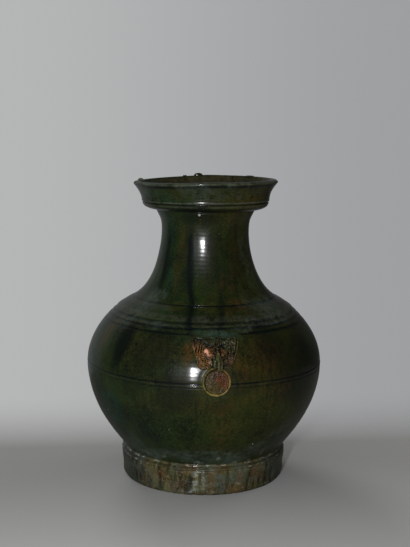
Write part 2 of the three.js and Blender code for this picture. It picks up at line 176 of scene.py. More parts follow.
# The outline moved square to itself by a wall's thickness.
def tracedOutline(wall):
    places = []
    for curve in outlineCurves():
        place, along = bezier(*curve)
        places.append(place + wall * np.stack([-along[:, 1], along[:, 0]], axis=1))
    trace = np.concatenate(places)
    return trace[np.argsort(trace[:, 1], kind="stable")]


outsideTrace = tracedOutline(0)


def outlineRadius(height):
    return np.interp(height, outsideTrace[:, 1], outsideTrace[:, 0])


# Distance round the wall from a place at a turn in degrees.
def across(turn, height, degrees):
    apart = (turn - np.radians(degrees) + np.pi) % (2 * np.pi) - np.pi
    return apart * outlineRadius(height)


# Distance round the wall from the middle of the nearer mask.
def fromMask(turn, height):
    return np.minimum(np.abs(across(turn, height, 0)), np.abs(across(turn, height, 180)))


# Where the clay of a mask was smeared up over the wall, as 0 to 1: over its width, just above its top.
def smeared(turn, height):
    return ease(31, 23, fromMask(turn, height)) * bump(height - 189.5, 4)


# Marks of the wheel and of the tool that cut the lines. A cut has a height, a depth and a half width, and
# a raised band has a height, a rise and a half width.
wheel = {
    "unround": 0.26, "inset": 0.62,
    "spiral": 0.045, "spiralStep": 4.3, "spiralShift": 1.0,
    "comb": 0.012, "combStep": 1.9,
    "cuts": [
        (jar["shoulderHeight"] - 11.5, 0.6, 2.1),
        (jar["shoulderHeight"] - 16.2, 0.62, 1.9),
        (jar["shoulderHeight"] - 21.4, 0.4, 1.9),
        (jar["neckSeam"], 0.6, 1.4),
        (jar["bellySeam"] + 2.3, 0.52, 1.2),
        (jar["bellySeam"] - 2.2, 0.16, 1.7),
    ],
    "bands": [
        (jar["shoulderHeight"] - 13.9, 0.25, 1.7),
        (jar["shoulderHeight"] - 18.8, 0.1, 1.7),
        (jar["shoulderHeight"] - 8.4, 0.95, 2.6),
        (jar["bellySeam"], 0.2, 0.8),
    ],
}
cutHeights = [at for at, deep, half in wheel["cuts"]]


# How deep the incised lines and how high the bands are at each place. A line wavers as the hand did, and
# its section is one wave of a cosine.
def cutLines(turn, height):
    depth, rise = 0.0, 0.0
    for k, (at, deep, half) in enumerate(wheel["cuts"]):
        share = np.clip(np.abs(height - at - 0.28 * waver(turn, 9, 300 + k)) / half, 0, 1)
        press = 1 + 0.3 * waver(turn, 14, 320 + k)
        depth = depth + deep * press * (0.5 + 0.5 * np.cos(np.pi * share))
    for k, (at, high, half) in enumerate(wheel["bands"]):
        rise = rise + high * bump(height - at - 0.25 * waver(turn, 9, 340 + k), half)
    return depth * (1 - 0.85 * smeared(turn, height)), rise


# What the masks' press left on the wall: a raised edge at the right of the front mask, a step down round
# each ring, and a swell at the left of the front ring with a dip across it, which the lamp's reflection
# shows.
pressed = {
    "edgeHeights": [156, 168, 187], "edgeReach": [22.5, 24.8, 28.2], "edgeRise": 0.3,
    "step": 0.3, "stepReach": 17,
    "swell": 0.42, "swellTurn": -11.8, "swellHeight": 149,
    "dip": 0.45, "dipTurn": -11, "dipHeight": 148.5,
}


# Radius of the thrown wall: the outline, out of round by hand, with a spiral of finger ridges, a fine
# comb of tool marks, the incised lines, the thicker glaze of the runs and what the masks' press left.
def wallRadius(turn, height):
    depth, rise = cutLines(turn, height)
    worked = ease(4, 12, height - jar["beadTop"])
    sway = 1.5 * drift(turn, height, 5, 40, 11)
    spiral = np.sin(2 * np.pi * (height + sway + wheel["spiralShift"]) / wheel["spiralStep"] + turn)
    comb = np.sin(2 * np.pi * (height + 0.6 * sway) / wheel["combStep"] + turn)
    patchy = 0.75 + 0.35 * drift(turn, height, 7, 22, 12)
    hand = wheel["unround"] * drift(turn, height, 4, 38, 13, 3) + 0.035 * drift(turn, height, 64, 13, 14, 2)
    marks = wheel["spiral"] * spiral * patchy + wheel["comb"] * comb * patchy
    edge = across(turn, height, 0) - np.interp(height, pressed["edgeHeights"], pressed["edgeReach"])
    pad = pressed["edgeRise"] * bump(edge, 0.6) * ease(156, 160, height) * ease(188, 185, height)
    smear = smeared(turn, height) * (0.3 + 0.16 * drift(turn, height, 190, 3.4, 15, 2))
    fromRing = np.hypot(fromMask(turn, height), height - jar["ringHeight"])
    step = pressed["step"] * ease(pressed["stepReach"] + 3.5, pressed["stepReach"], fromRing)
    lift = hand + marks + 0.16 * darkRuns(turn, height) + pad + smear - step
    swell = pressed["swell"] * bump(across(turn, height, pressed["swellTurn"]), 8)
    swell = swell * bump(height - pressed["swellHeight"], 26)
    dip = pressed["dip"] * bump(across(turn, height, pressed["dipTurn"]), 18)
    dip = dip * bump(height - pressed["dipHeight"], 8)
    return outlineRadius(height) + worked * (lift + (swell - dip) - wheel["inset"]) - depth + rise


# Runs of dark glaze: each is a path of turn in degrees by height, with its half width and strength.
runs = [
    {"path": [(300, -22), (258, -21.5), (236, -19.8), (220, -17.6), (204, -14.8), (186, -12.6)],
     "half": 4.2, "strength": 1.0},
    {"path": [(236, 10.5), (222, 9.5), (201, 5.2), (192, 4.5)], "half": 4.0, "strength": 0.7},
    {"path": [(305, -60), (250, -58), (222, -52)], "half": 4.6, "strength": 0.6},
    {"path": [(232, 22), (203, 15)], "half": 2.2, "strength": 0.4},
]
random = np.random.RandomState(5)
for start in np.linspace(70, 285, 9):  # the far side has its own
    first = start + random.uniform(-9, 9)
    low = random.uniform(150, 215)
    path = [(random.uniform(235, 300), first), (low + 20, first + random.uniform(-4, 4)), (low, first)]
    runs.append({"path": path, "half": random.uniform(2.2, 4.8), "strength": random.uniform(0.4, 0.95)})


# Strength of the dark runs: a soft ridge along each path that fades at both its ends.
def darkRuns(turn, height):
    total = 0.0
    for k, run in enumerate(runs):
        heights, degrees = np.array(run["path"], float)[::-1].T
        at = np.interp(height, heights, degrees)
        side = across(turn, height, at) + 1.3 * drift(turn * 0, height, 1, 17, 400 + k)
        fade = ease(-6, 8, height - heights[0]) * ease(-14, 30, heights[-1] - height)
        total = total + run["strength"] * fade * bump(side, run["half"])
    return np.clip(total, 0, 1)


# Patches of the glaze's other colours: turn in degrees, height, half width, half height, strength.
# The bloom patches are grey bloom, and painted sheen on the shoulder's ridges and its right side; the
# shade patches are darker glaze, and painted shade over the right of the belly and neck and under the cup.
patches = {
    "olive": [
        (-2, 258, 11, 44, 0.6), (-29, 212, 14, 6, 1), (-5, 213, 12, 6, 0.9), (-34, 258, 5, 26, 0.4),
        (-30, 175, 12, 14, 0.35), (-38, 160, 26, 26, 0.35), (4, 92, 24, 16, 0.5), (34, 330, 10, 10, 0.35),
        (0, 60, 34, 14, 0.35),
    ],
    "amber": [
        (24, 238, 5, 12, 0.6), (25, 213, 15, 7, 0.6), (13, 236, 4, 12, 0.5), (-15, 172, 6, 17, 1),
        (27, 166, 24, 22, 0.45), (-67, 180, 9, 22, 0.8), (-11.8, 304.5, 1.8, 5, 1), (36, 140, 20, 20, 0.35),
        (2, 112, 19, 8, 0.4), (4, 78, 12, 26, 0.35), (34, 262, 10, 26, 0.3), (-38, 262, 7, 36, 0.35),
        (12, 205, 5, 8, 0.4), (11, 150, 5, 16, 0.5),
    ],
    "teal": [
        (-76, 146, 10, 26, 1), (-62, 95, 14, 30, 0.25), (-47, 240, 7, 16, 0.4), (-57, 285, 7, 30, 0.35),
        (-50, 334, 16, 10, 0.4), (-57, 100, 22, 20, 0.5), (0, 189.5, 27, 4.5, 0.6), (-15, 182, 12, 5, 0.3),
        (-36, 205, 6, 5, 0.5),
    ],
    # Painted sheen: the patches at heights 195.6, 201.6, 205 and 212 on the shoulder.
    "bloomAndSheen": [
        (-54, 214, 16, 13, 1), (-58, 193, 16, 10, 0.8), (-44, 222, 8, 7, 0.8), (53, 205, 32, 14, 1),
        (-55, 62, 18, 16, 0.7), (70, 178, 18, 24, 0.5), (0, 190, 27, 4, 0.6), (-12, 338, 14, 8, 0.5),
        (52, 258, 8, 30, 0.4), (42, 68, 20, 16, 0.8), (50, 212, 20, 10, 1), (20, 44, 26, 6, 0.6),
        (15, 41, 17, 8, 1), (38, 195.6, 52, 3, 1), (36, 201.6, 46, 2.2, 0.8), (-40, 195.6, 26, 2.4, 0.6),
        (-44, 43, 32, 10, 0.9), (-10, 48, 50, 12, 0.85), (22, 49, 42, 12, 0.95),
    ],
    # Painted shade: the patches on the right of the belly and neck, and the one under the cup at 306.
    "darkGlazeAndShade": [
        (46, 150, 46, 48, 0.75), (31, 176, 24, 22, 0.75), (-33, 170, 28, 26, 0.5), (36, 275, 14, 40, 0.5),
        (14, 262, 12, 40, 0.35), (27, 168, 24, 20, 0.45), (-2, 262, 16, 40, 0.55), (-52, 168, 11, 26, 0.9),
        (28, 262, 10, 34, 0.5), (-30, 262, 8, 40, 0.4), (-38, 160, 16, 20, 0.25), (2, 110, 16, 10, 0.3),
        (2, 281, 14, 24, 0.45), (22, 248, 14, 26, 0.4), (-60, 250, 10, 30, 0.3), (-14, 306, 26, 14, 0.6),
        (-20, 126, 24, 24, 0.6), (13, 134, 26, 16, 0.42), (-41, 134, 26, 18, 0.35),
    ],
}
farSide = (75, 285), (45, 325), (8, 26), (8, 28), (0.3, 0.9)  # between which values its patches lie
for colour, amount in (("olive", 10), ("amber", 9), ("teal", 6), ("bloomAndSheen", 9)):
    patches[colour] += [tuple(random.uniform(*span) for span in farSide) for k in range(amount)]


# The strongest of a list of soft ovals at each place. sideOf gives the distance from an oval's middle.
def ovals(dabs, sideOf, height, full, gone):
    total = 0.0
    for at, up, wide, tall, strength in dabs:
        reach = np.hypot(sideOf(at) / wide, (height - up) / tall)
        total = np.maximum(total, strength * (1 - ease(full, gone, reach)))
    return total


# Strength of one colour's patches. Their places waver, so that their edges are ragged.
def patched(colour, turn, height, seed):
    shift = 5 * drift(turn, height, 18, 24, seed, 3)
    lift = 6 * drift(turn, height, 22, 20, seed + 9, 3)
    return ovals(patches[colour], lambda at: across(turn, height, at) + shift, height + lift, 0.45, 1.35)


# A colour layer of four channels, each a number or a field.
def layer(*channels):
    return np.stack(np.broadcast_arrays(*channels), axis=-1)


# What the glaze of the thrown wall shows: stain is dark run, with darker glaze and painted shade, amber,
# olive and teal; weather is bloom with painted sheen, bare clay, pale crust and pooled glaze, which is
# 0.5 where the glaze is of even thickness.
def wallFinish(turn, height):
    depth, rise = cutLines(turn, height)
    sweep = drift(turn, height, 6, 60, 41, 3)
    warm = ease(-0.9, 0.9, np.sin(turn + np.radians(12)) + 0.5 * sweep)  # greener to the left of the front
    chalk = drift(turn, height, 90, 7, 81, 3)
    low = 1 - ease(3, 20, height - jar["beadTop"])
    stain = layer(
        np.clip(darkRuns(turn, height) + patched("darkGlazeAndShade", turn, height, 55), 0, 1),
        np.clip(patched("amber", turn, height, 50) + 0.3 * warm * ease(-0.3, 0.9, sweep), 0, 1),
        np.clip(patched("olive", turn, height, 60) + 0.6 * warm, 0, 1),
        np.clip(patched("teal", turn, height, 70) + 0.2 * (1 - warm), 0, 1),
    )
    weather = layer(
        patched("bloomAndSheen", turn, height, 80),
        0,
        low * ease(0.1, 0.9, chalk) * (0.35 + 0.5 * bump(across(turn, height, 12), 36)),
        0.5 + 0.5 * ease(0.04, 0.34, depth) - 0.22 * ease(0, 0.3, rise),
    )
    return stain, weather


bareClay = (0, 0, 0, 0), (0, 1, 0, 0.5)  # its stain and its weather


# Heights of a section's rows: closer together near the marks, so that a fine line keeps its shape.
def rowHeights(low, high, spacing, marks=(), close=0.28, reach=2.8):
    z = np.linspace(low, high, 3000)
    density = np.full_like(z, 1 / spacing)
    for mark in marks:
        density = np.maximum(density, np.exp(-(((z - mark) / reach) ** 4)) / close)
    count = np.concatenate([[0], np.cumsum((density[1:] + density[:-1]) / 2 * np.diff(z))])
    return np.interp(np.linspace(0, count[-1], int(math.ceil(count[-1])) + 1), count, z)[:, None]


def oneRow(value):
    return np.full((1, 1), float(value))


# Numbers of an open grid's points, and the quads that join them.
def openGrid(rows, cols):
    index = np.arange(rows * cols).reshape(rows, cols)
    quads = np.stack([index[:-1, :-1], index[:-1, 1:], index[1:, 1:], index[1:, :-1]], axis=-1)
    return index, quads.reshape(-1, 4)


# Fills a mesh from points in millimetres, quads and triangles. Where the faces enclose a volume below
# zero, they point inwards, so each is turned round.
def fillMesh(name, spots, quads, fans):
    halves = np.concatenate([quads[:, [0, 1, 2]], quads[:, [0, 2, 3]], fans])
    a, b, c = (spots[halves[:, k]] for k in range(3))
    if np.einsum("ij,ij->", a, np.cross(b, c)) < 0:
        quads, fans = quads[:, ::-1], fans[:, ::-1]
    mesh = bpy.data.meshes.new(name)
    mesh.vertices.add(len(spots))
    mesh.vertices.foreach_set("co", (spots * mm).astype(np.float32).ravel())
    sides = np.concatenate([quads.ravel(), fans.ravel()]).astype(np.int32)
    mesh.loops.add(len(sides))
    mesh.loops.foreach_set("vertex_index", sides)
    starts = np.concatenate([np.arange(len(quads)) * 4, len(quads) * 4 + np.arange(len(fans)) * 3])
    mesh.polygons.add(len(starts))
    mesh.polygons.foreach_set("loop_start", starts.astype(np.int32))
    mesh.update(calc_edges=True)
    mesh.shade_smooth()
    return mesh


# A grid of points whose rows follow a section and whose columns go round, joined by quads. With two end
# points the first and last rows close in fans, else the last row meets the first.
def gridMesh(name, points, ends=None):
    rows, cols = points.shape[:2]
    index = np.arange(rows * cols).reshape(rows, cols)
    near, far = (index, np.roll(index, -1, axis=0)) if ends is None else (index[:-1], index[1:])
    beside = [np.roll(grid, -1, axis=1) for grid in (near, far)]
    quads = np.stack([near, beside[0], beside[1], far], axis=-1).reshape(-1, 4)
    spots, fans = points.reshape(-1, 3), np.empty((0, 3), int)
    if ends is not None:
        poles = [np.full(cols, rows * cols + k) for k in (0, 1)]
        fans = np.concatenate([
            np.stack([poles[0], np.roll(index[0], -1), index[0]], axis=-1),
            np.stack([poles[1], index[-1], np.roll(index[-1], -1)], axis=-1),
        ])
        spots = np.concatenate([spots, np.array(ends, float)])
    return fillMesh(name, spots, quads, fans)


# Puts the two colour layers on a mesh. Its end points take the last point's finish.
def paintMesh(mesh, stain, weather):
    for name, colours in (("stain", stain), ("weather", weather)):
        values = colours.reshape(-1, 4)
        extra = len(mesh.vertices) - len(values)
        values = np.concatenate([values, np.repeat(values[-1:], extra, axis=0)])
        attribute = mesh.attributes.new(name, "FLOAT_COLOR", "POINT")
        attribute.data.foreach_set("color", np.clip(values, 0, 1).astype(np.float32).ravel())


# A turned piece. Each part of its section gives radii and heights by row and turn, and its two layers.
def turnedMesh(name, parts, ends=None):
    fields = []
    for radii, heights, layers in parts:
        size = np.broadcast(radii, heights, turns).shape
        plain = [np.broadcast_to(values, size) for values in (radii, heights)]
        fields.append(plain + [np.broadcast_to(values, size + (4,)) for values in layers])
    radii, heights, stain, weather = (np.concatenate(rows) for rows in zip(*fields))
    points = np.stack([radii * np.sin(turns), -radii * np.cos(turns), heights], axis=-1)
    mesh = gridMesh(name, points, ends)
    paintMesh(mesh, stain, weather)
    return mesh


# Puts an object with its data into the scene.
def placed(name, data):
    made = bpy.data.objects.new(name, data)
    bpy.context.scene.collection.objects.link(made)
    return made


def finishPiece(name, mesh, material, node=None):
    piece = placed(name, mesh)
    mesh.materials.append(material)
    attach(piece, "root")
    if node:
        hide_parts(node)
    print("made", name, len(mesh.polygons), "faces")
    return piece


# Shader maths. A Wire is a socket that plain expressions can use, and each expression adds its nodes.
class Wire:
    def __init__(self, graph, socket):
        self.graph, self.socket = graph, socket

    def __add__(self, other):
        return self.graph.math("ADD", self, other)

    def __radd__(self, other):
        return self.graph.math("ADD", other, self)

    def __sub__(self, other):
        return self.graph.math("SUBTRACT", self, other)

    def __rsub__(self, other):
        return self.graph.math("SUBTRACT", other, self)

    def __mul__(self, other):
        return self.graph.math("MULTIPLY", self, other)

    def __rmul__(self, other):
        return self.graph.math("MULTIPLY", other, self)


class Graph:
    def __init__(self, owner):
        owner.use_nodes = True
        self.tree = owner.node_tree
        self.tree.nodes.clear()

    def node(self, kind, settings=None, sockets=None):
        made = self.tree.nodes.new("ShaderNode" + kind)
        for name, value in (settings or {}).items():
            setattr(made, name, value)
        for name, value in (sockets or {}).items():
            if isinstance(value, Wire):
                self.tree.links.new(value.socket, made.inputs[name])
            else:
                made.inputs[name].default_value = value
        return made

    def wire(self, kind, settings=None, sockets=None, output=0):
        return Wire(self, self.node(kind, settings, sockets).outputs[output])

    def math(self, operation, a, b=0.0, clamp=False):
        return self.wire("Math", {"operation": operation, "use_clamp": clamp}, {0: a, 1: b})

    def clamp(self, value):
        return self.math("ADD", value, 0.0, clamp=True)

    def ease(self, low, high, value):
        spread = {"From Min": low, "From Max": high, "Value": value}
        return self.wire("MapRange", {"interpolation_type": "SMOOTHSTEP"}, spread)

    def mix(self, share, a, b):
        settings = {"data_type": "RGBA", "clamp_factor": True}
        return self.wire("Mix", settings, {0: share, 6: a, 7: b}, 2)

    def mixShader(self, share, a, b):
        return self.wire("MixShader", {}, {0: share, 1: a, 2: b})

    def stretch(self, vector, scale):
        return self.wire("VectorMath", {"operation": "MULTIPLY"}, {0: vector, 1: scale})

    def noise(self, vector, scale, detail=2.0, rough=0.5):
        sockets = {"Vector": vector, "Scale": scale, "Detail": detail, "Roughness": rough}
        return self.wire("TexNoise", {}, sockets, "Fac")

    def axis(self, vector, letter):
        return self.wire("SeparateXYZ", {}, {0: vector}, letter)

    def ray(self, kind):
        return self.wire("LightPath", output="Is " + kind + " Ray")

    def channels(self, name):
        source = self.node("Attribute", {"attribute_name": name})
        split = self.node("SeparateColor", {}, {"Color": Wire(self, source.outputs["Color"])})
        return [Wire(self, split.outputs[k]) for k in range(3)] + [Wire(self, source.outputs["Alpha"])]


# An sRGB colour, as a painter reads it off a swatch, in the renderer's linear values.
def swatch(red, green, blue):
    linear = [v / 12.92 if v <= 0.04045 else ((v + 0.055) / 1.055) ** 2.4
              for v in (red / 255, green / 255, blue / 255)]
    return (*linear, 1.0)


# The lead glaze over its red clay. The stain and weather layers say where its colours lie, and noise on
# the object's own coordinates breaks them up: long streaks, mottling, fine specks and a net of crackle.
# look has sRGB colours, and numbers for strengths and scales.
def glazeMaterial(name, look):
    look = {key: swatch(*value) if isinstance(value, tuple) else value for key, value in look.items()}
    material = bpy.data.materials.new(name)
    g = Graph(material)
    place = g.wire("TexCoord", output="Object")
    run, amber, olive, teal = g.channels("stain")
    bloomAndSheen, bare, pale, pool = g.channels("weather")
    streak = g.noise(g.stretch(place, (1, 1, look["streakStretch"])), look["streakScale"], 4, 0.6)
    cloud = g.noise(place, 26, 4, 0.6)
    mottle = g.noise(place, 170, 4, 0.65)
    grain = g.noise(place, 700, 3, 0.7)
    fine = grain * 0.45 + streak * 0.55
    colour = g.mix(g.ease(0.36, 0.62, cloud * 0.6 + fine * 0.4), look["deep"], look["green"])
    colour = g.mix(olive * g.ease(0.36, 0.6, fine * 0.6 + mottle * 0.4), colour, look["olive"])
    colour = g.mix(amber * g.ease(0.38, 0.6, fine * 0.7 + mottle * 0.3), colour, look["amber"])
    colour = g.mix(teal * g.ease(0.38, 0.62, mottle * 0.6 + grain * 0.4), colour, look["teal"])
    thin = g.clamp((0.5 - pool) * 2.0)
    thick = g.clamp((pool - 0.5) * 2.0)
    colour = g.mix(thin * g.ease(0.32, 0.6, mottle), colour, look["thin"])
    colour = g.mix(g.clamp(thick * 0.85 + run * 0.92), colour, look["dark"])
    colour = g.mix(g.ease(0.54, 0.7, grain) * (1 - run) * look["fleckStrength"], colour, look["fleck"])
    # The bloom layer also carries painted sheen and painted highlight.
    haze = bloomAndSheen * g.ease(0.36, 0.66, mottle * 0.55 + cloud * 0.45)
    colour = g.mix(haze * look["bloomAndSheenStrength"], colour, look["bloomAndSheen"])
    cells = {"Vector": place, "Scale": 300.0}
    toEdge = g.wire("TexVoronoi", {"feature": "DISTANCE_TO_EDGE"}, cells, "Distance")
    net = (1 - g.ease(0.0, 0.05, toEdge)) * g.ease(0.4, 0.65, cloud) * 0.25
    colour = g.mix(net, colour, look["dark"])
    # The crust layer is pale crust, and also painted highlight on the neck bead, the lip and the foot's
    # front.
    crustAndHighlight = g.clamp(pale * g.ease(0.3, 0.6, mottle * 0.5 + grain * 0.5) * 1.3)
    colour = g.mix(crustAndHighlight, colour, look["crustAndHighlight"])
    clay = g.mix(g.ease(0.3, 0.7, mottle * 0.5 + cloud * 0.5), look["clayDark"], look["clay"])
    worn = g.ease(0.35, 0.65, bare + (mottle - 0.5) * 0.5)
    colour = g.mix(worn, colour, clay)
    dull = g.clamp(worn + crustAndHighlight)
    rough = look["rough"] + grain * 0.06 + haze * 0.22 + dull * 0.5
    height = (g.noise(place, 95, 2, 0.5) * look["peel"] + mottle * 0.13 + grain * look["pebble"]
              + dull * grain * 0.25 + crustAndHighlight * 0.12 - net * 0.04)
    normal = g.wire("Bump", {}, {"Strength": 1.0, "Distance": mm, "Height": height}, "Normal")
    shader = g.wire("BsdfPrincipled", {}, {
        "Base Color": colour, "Roughness": g.clamp(rough), "Normal": normal,
        "Coat Weight": g.clamp(look["coat"] - dull - haze * 0.5), "Coat Roughness": look["coatRough"],
        "Coat IOR": 1.5, "Specular IOR Level": 0.1,
    })
    g.node("OutputMaterial", {}, {"Surface": shader})
    return material


bodyLook = {
    "deep": (9, 16, 7), "green": (32, 44, 10), "olive": (52, 49, 13),
    "amber": (72, 47, 17), "teal": (20, 56, 45), "thin": (68, 70, 58),
    "dark": (8, 14, 13), "fleck": (86, 92, 66), "bloomAndSheen": (72, 82, 76),
    "crustAndHighlight": (118, 122, 104), "clay": (150, 98, 70), "clayDark": (104, 66, 48),
    "bloomAndSheenStrength": 0.72, "fleckStrength": 0.36, "rough": 0.32, "coat": 0.68, "coatRough": 0.17,
    "peel": 0.1, "pebble": 0.09, "streakScale": 230.0, "streakStretch": 0.1,
}
bodyGlaze = glazeMaterial("bodyGlaze", bodyLook)
print("glaze ready")


# Radius of the inside at a height, with the softer ridges that fingers left there.
def insideRadius(trace, turn, height):
    ridges = 0.35 * np.sin(2 * np.pi * height / 9.5 + turn) + 0.3 * drift(turn, height, 5, 30, 21)
    return np.interp(height, trace[:, 1], trace[:, 0]) + ridges


# Glaze that ran in from the mouth ends in a ragged edge on bare clay.
def insideFinish(turn, height):
    edge = jar["glazeEnds"] + jar["glazeRags"] * waver(turn, 9, 31, 3)
    bare = 1 - ease(-6, 6, height - edge)
    return layer(0, 0.45, 0.7, 0 * bare), layer(0.2, bare, 0, 0.45)


# One thrown section between two heights: outside upwards, a flat joint, inside downwards, a flat joint.
def thrownSection(name, node, low, high, wall, spacing=1.25):
    trace = tracedOutline(wall)
    nick = 0.2
    outer = rowHeights(low + nick, high - nick, spacing, cutHeights)
    inner = rowHeights(low, high, 3.5)[::-1]
    finish = wallFinish(turns, outer)
    parts = [
        (wallRadius(turns, outer), outer, finish),
        (wallRadius(turns, high) - nick, oneRow(high), [colours[-1:] for colours in finish]),
        (insideRadius(trace, turns, inner), inner, insideFinish(turns, inner)),
        (wallRadius(turns, low) - nick, oneRow(low), [colours[:1] for colours in finish]),
    ]
    return finishPiece(name, turnedMesh(name, parts), bodyGlaze, node)


thrownSection("upperBelly", "upper_belly", jar["bellySeam"] + halfSeam, jar["neckSeam"] - halfSeam, 8)
thrownSection("neck", "neck", jar["neckSeam"] + halfSeam, jar["cupBase"] - halfSeam, jar["neckWall"], 1.0)

bowl = {"wall": 8.6, "floor": 9, "corner": 6, "seatDepth": 1.6, "nick": 0.2}


# The bowl with its own floor: underside out from the axis, seat, outside, joint, inside, floor. A spiral
# under it and a knob on its floor are left from the wheel.
def lowerBelly():
    base = jar["footTop"] + jar["seam"]
    rim = jar["bellySeam"] - halfSeam
    floorTop = base + bowl["floor"]
    turnUp = floorTop + bowl["corner"]
    seat = jar["bowlBase"] - bowl["seatDepth"]
    trace = tracedOutline(bowl["wall"])
    under = np.linspace(1.5, seat - 0.3, 46)[:, None]
    outer = rowHeights(jar["beadTop"], rim - bowl["nick"], 1.3, cutHeights)
    inner = rowHeights(turnUp, rim, 4)[::-1]
    lowest = float(np.interp(turnUp, trace[:, 1], trace[:, 0]))
    turnIn = np.linspace(0, np.pi / 2, 8)[1:, None]
    cornerRadii = lowest - 0.14 * lowest * (1 - np.cos(turnIn))
    flat = np.linspace(0.86 * lowest, 1.5, 24)[:, None]
    finish = wallFinish(turns, outer)
    swirl = 0.3 * np.sin(under / 2.1 + turns) * ease(seat, 0.8 * seat, under)
    knob = 1.4 * bump(flat, 9) + 0.5 * np.sin(flat / 3.3 + turns) * ease(2, 12, flat)
    parts = [
        (under, base + swirl * ease(1, 8, under) * 0.5, bareClay),
        (oneRow(seat), oneRow(base + 0.3), bareClay),
        (oneRow(seat), oneRow(jar["beadTop"] - 0.4), bareClay),
        (wallRadius(turns, outer), outer, finish),
        (wallRadius(turns, rim) - bowl["nick"], oneRow(rim), [colours[-1:] for colours in finish]),
        (insideRadius(trace, turns, inner), inner, insideFinish(turns, inner)),
        (cornerRadii, floorTop + bowl["corner"] * (1 - np.sin(turnIn)), bareClay),
        (flat, floorTop + knob, bareClay),
    ]
    mesh = turnedMesh("lowerBelly", parts, [(0, 0, base), (0, 0, floorTop + 1.4)])
    return finishPiece("lowerBelly", mesh, bodyGlaze, "lower_belly")


lowerBelly()


# A ring of slip between two sections. It follows the wall outside and stands out a little inside.
def slipRing(name, node, height, wall):
    low, high = height - halfSeam - 0.15, height + halfSeam + 0.15
    trace = tracedOutline(wall)
    outer = np.linspace(low, high, 9)[:, None]
    squeeze = np.linspace(high, low, 9)[:, None]
    bulge = (1.3 + 0.5 * waver(turns, 30, 23)) * bump(squeeze - height, 0.8)
    parts = [
        (wallRadius(turns, outer), outer, wallFinish(turns, outer)),
        (insideRadius(trace, turns, squeeze) - bulge, squeeze, insideFinish(turns, squeeze)),
    ]
    return finishPiece(name, turnedMesh(name, parts), bodyGlaze, node)


slipRing("bellySlip", "belly_slip", jar["bellySeam"], bowl["wall"])
slipRing("neckSlip", "neck_slip", jar["neckSeam"], jar["neckWall"])
slipRing("mouthSlip", "mouth_slip", jar["cupBase"], jar["neckWall"])
print("body done")

foot = {"wall": 10, "baseRadius": 94.9, "edge": 1.7, "innerEdge": 1.2, "chip": 2.6, "streaks": 160}
footLook = bodyLook | {
    "deep": (36, 32, 19), "green": (70, 72, 44), "olive": (98, 95, 56),
    "amber": (92, 58, 30), "teal": (38, 62, 52), "thin": (92, 84, 58),
    "dark": (18, 20, 15), "fleck": (164, 160, 128), "bloomAndSheen": (96, 106, 100),
    "crustAndHighlight": (144, 149, 138), "clay": (112, 96, 70), "clayDark": (62, 50, 34),
    "bloomAndSheenStrength": 0.7, "rough": 0.36, "pebble": 0.05, "streakScale": 400.0, "streakStretch": 0.12,
}
footGlaze = glazeMaterial("footGlaze", footLook)


# Distance round the foot from a place at a turn in degrees. It is a bit more than the foot's own radius
# gives, since it is measured on the bowl above.
def roundFoot(turn, degrees):
    return across(turn, 60, degrees)


def frontDegrees(turn):
    return np.degrees((turn + np.pi) % (2 * np.pi) - np.pi)


# How much of the foot's lower edge is broken away: a few shell-shaped chips and a finer crumbling, which
# is worst a little to the left of the front.
def footChips(turn):
    coarse = ease(0.35, 1.1, waver(turn, 17, 91))
    fine = ease(0.2, 1.0, waver(turn, 90, 92))
    return coarse + (0.35 + 0.5 * bump(roundFoot(turn, -13), 22)) * fine


# The foot's glaze ran in streaks. Its flanks are darker, its front has white flecks, which also paint
# glints there as painted highlight, and a pale veil, and the lower part to the left of the front is
# painted paler, as painted light.
def footFinish(turn, height):
    streak = drift(turn, 0.5 * height, foot["streaks"], 9, 95, 3)
    other = drift(turn, 0.7 * height, 70, 9, 96, 3)
    ragged = 2.2 * drift(turn, height, 60, 9, 99, 3)
    # White crust flecks at the front, which also stand in for its glints: painted highlight.
    flecksAndGlints = bump(roundFoot(turn, -10.8) + ragged, 3.4) + 0.7 * bump(roundFoot(turn, -5) + ragged, 1.6)
    flecksAndGlints = flecksAndGlints * ease(-0.9, 0.3, drift(turn, height, 90, 5, 100)) * ease(3, 10, height)
    specks = ease(0.75, 1.2, drift(turn, height, 110, 4, 98, 3))
    wear = ease(0.2, 1.0, footChips(turn)) * (1 - ease(1.5, 6.5, height))
    rim = 1 - ease(0.6, 3.0, height)
    degrees = frontDegrees(turn) + 5.7
    flank = np.where(degrees < 0, 1, 0.55) * ease(32, 60, np.abs(degrees))
    veil = bump(roundFoot(turn, 5), 7) * ease(27, 20, height)
    veil = veil * ease(-0.5, 0.6, drift(turn, height, 50, 9, 89))
    # Painted light: the lower part left of the front is made paler.
    paintedLight = bump(roundFoot(turn, -14), 28) * ease(22, 8, height)
    haze = ease(0.1, 0.8, drift(turn, height, 34, 9, 97, 3))
    stain = layer(
        0.45 * ease(0.4, 1.1, -streak) * (1 - 0.6 * paintedLight) + 0.55 * flank + 0.2 * ease(15, 40, degrees),
        (0.12 + 0.6 * ease(-0.4, 0.6, other)) * (1 - 0.7 * flank) * (1 - 0.6 * veil) * (1 - 0.5 * paintedLight),
        0.9 * ease(-0.3, 0.8, streak) * (1 - 0.6 * flank),
        0.6 * ease(0.4, 1.1, -other) + 0.75 * flank + 0.4 * veil,
    )
    weather = layer(
        0.4 * haze + 0.15 * flank + 0.9 * veil + 0.8 * paintedLight,
        np.clip(wear + (0.15 + 0.4 * paintedLight) * rim, 0, 1),
        np.clip(0.85 * flecksAndGlints + 0.35 * specks, 0, 1),
        0.5 + 0.25 * ease(0.3, 1, -streak),
    )
    return stain, weather


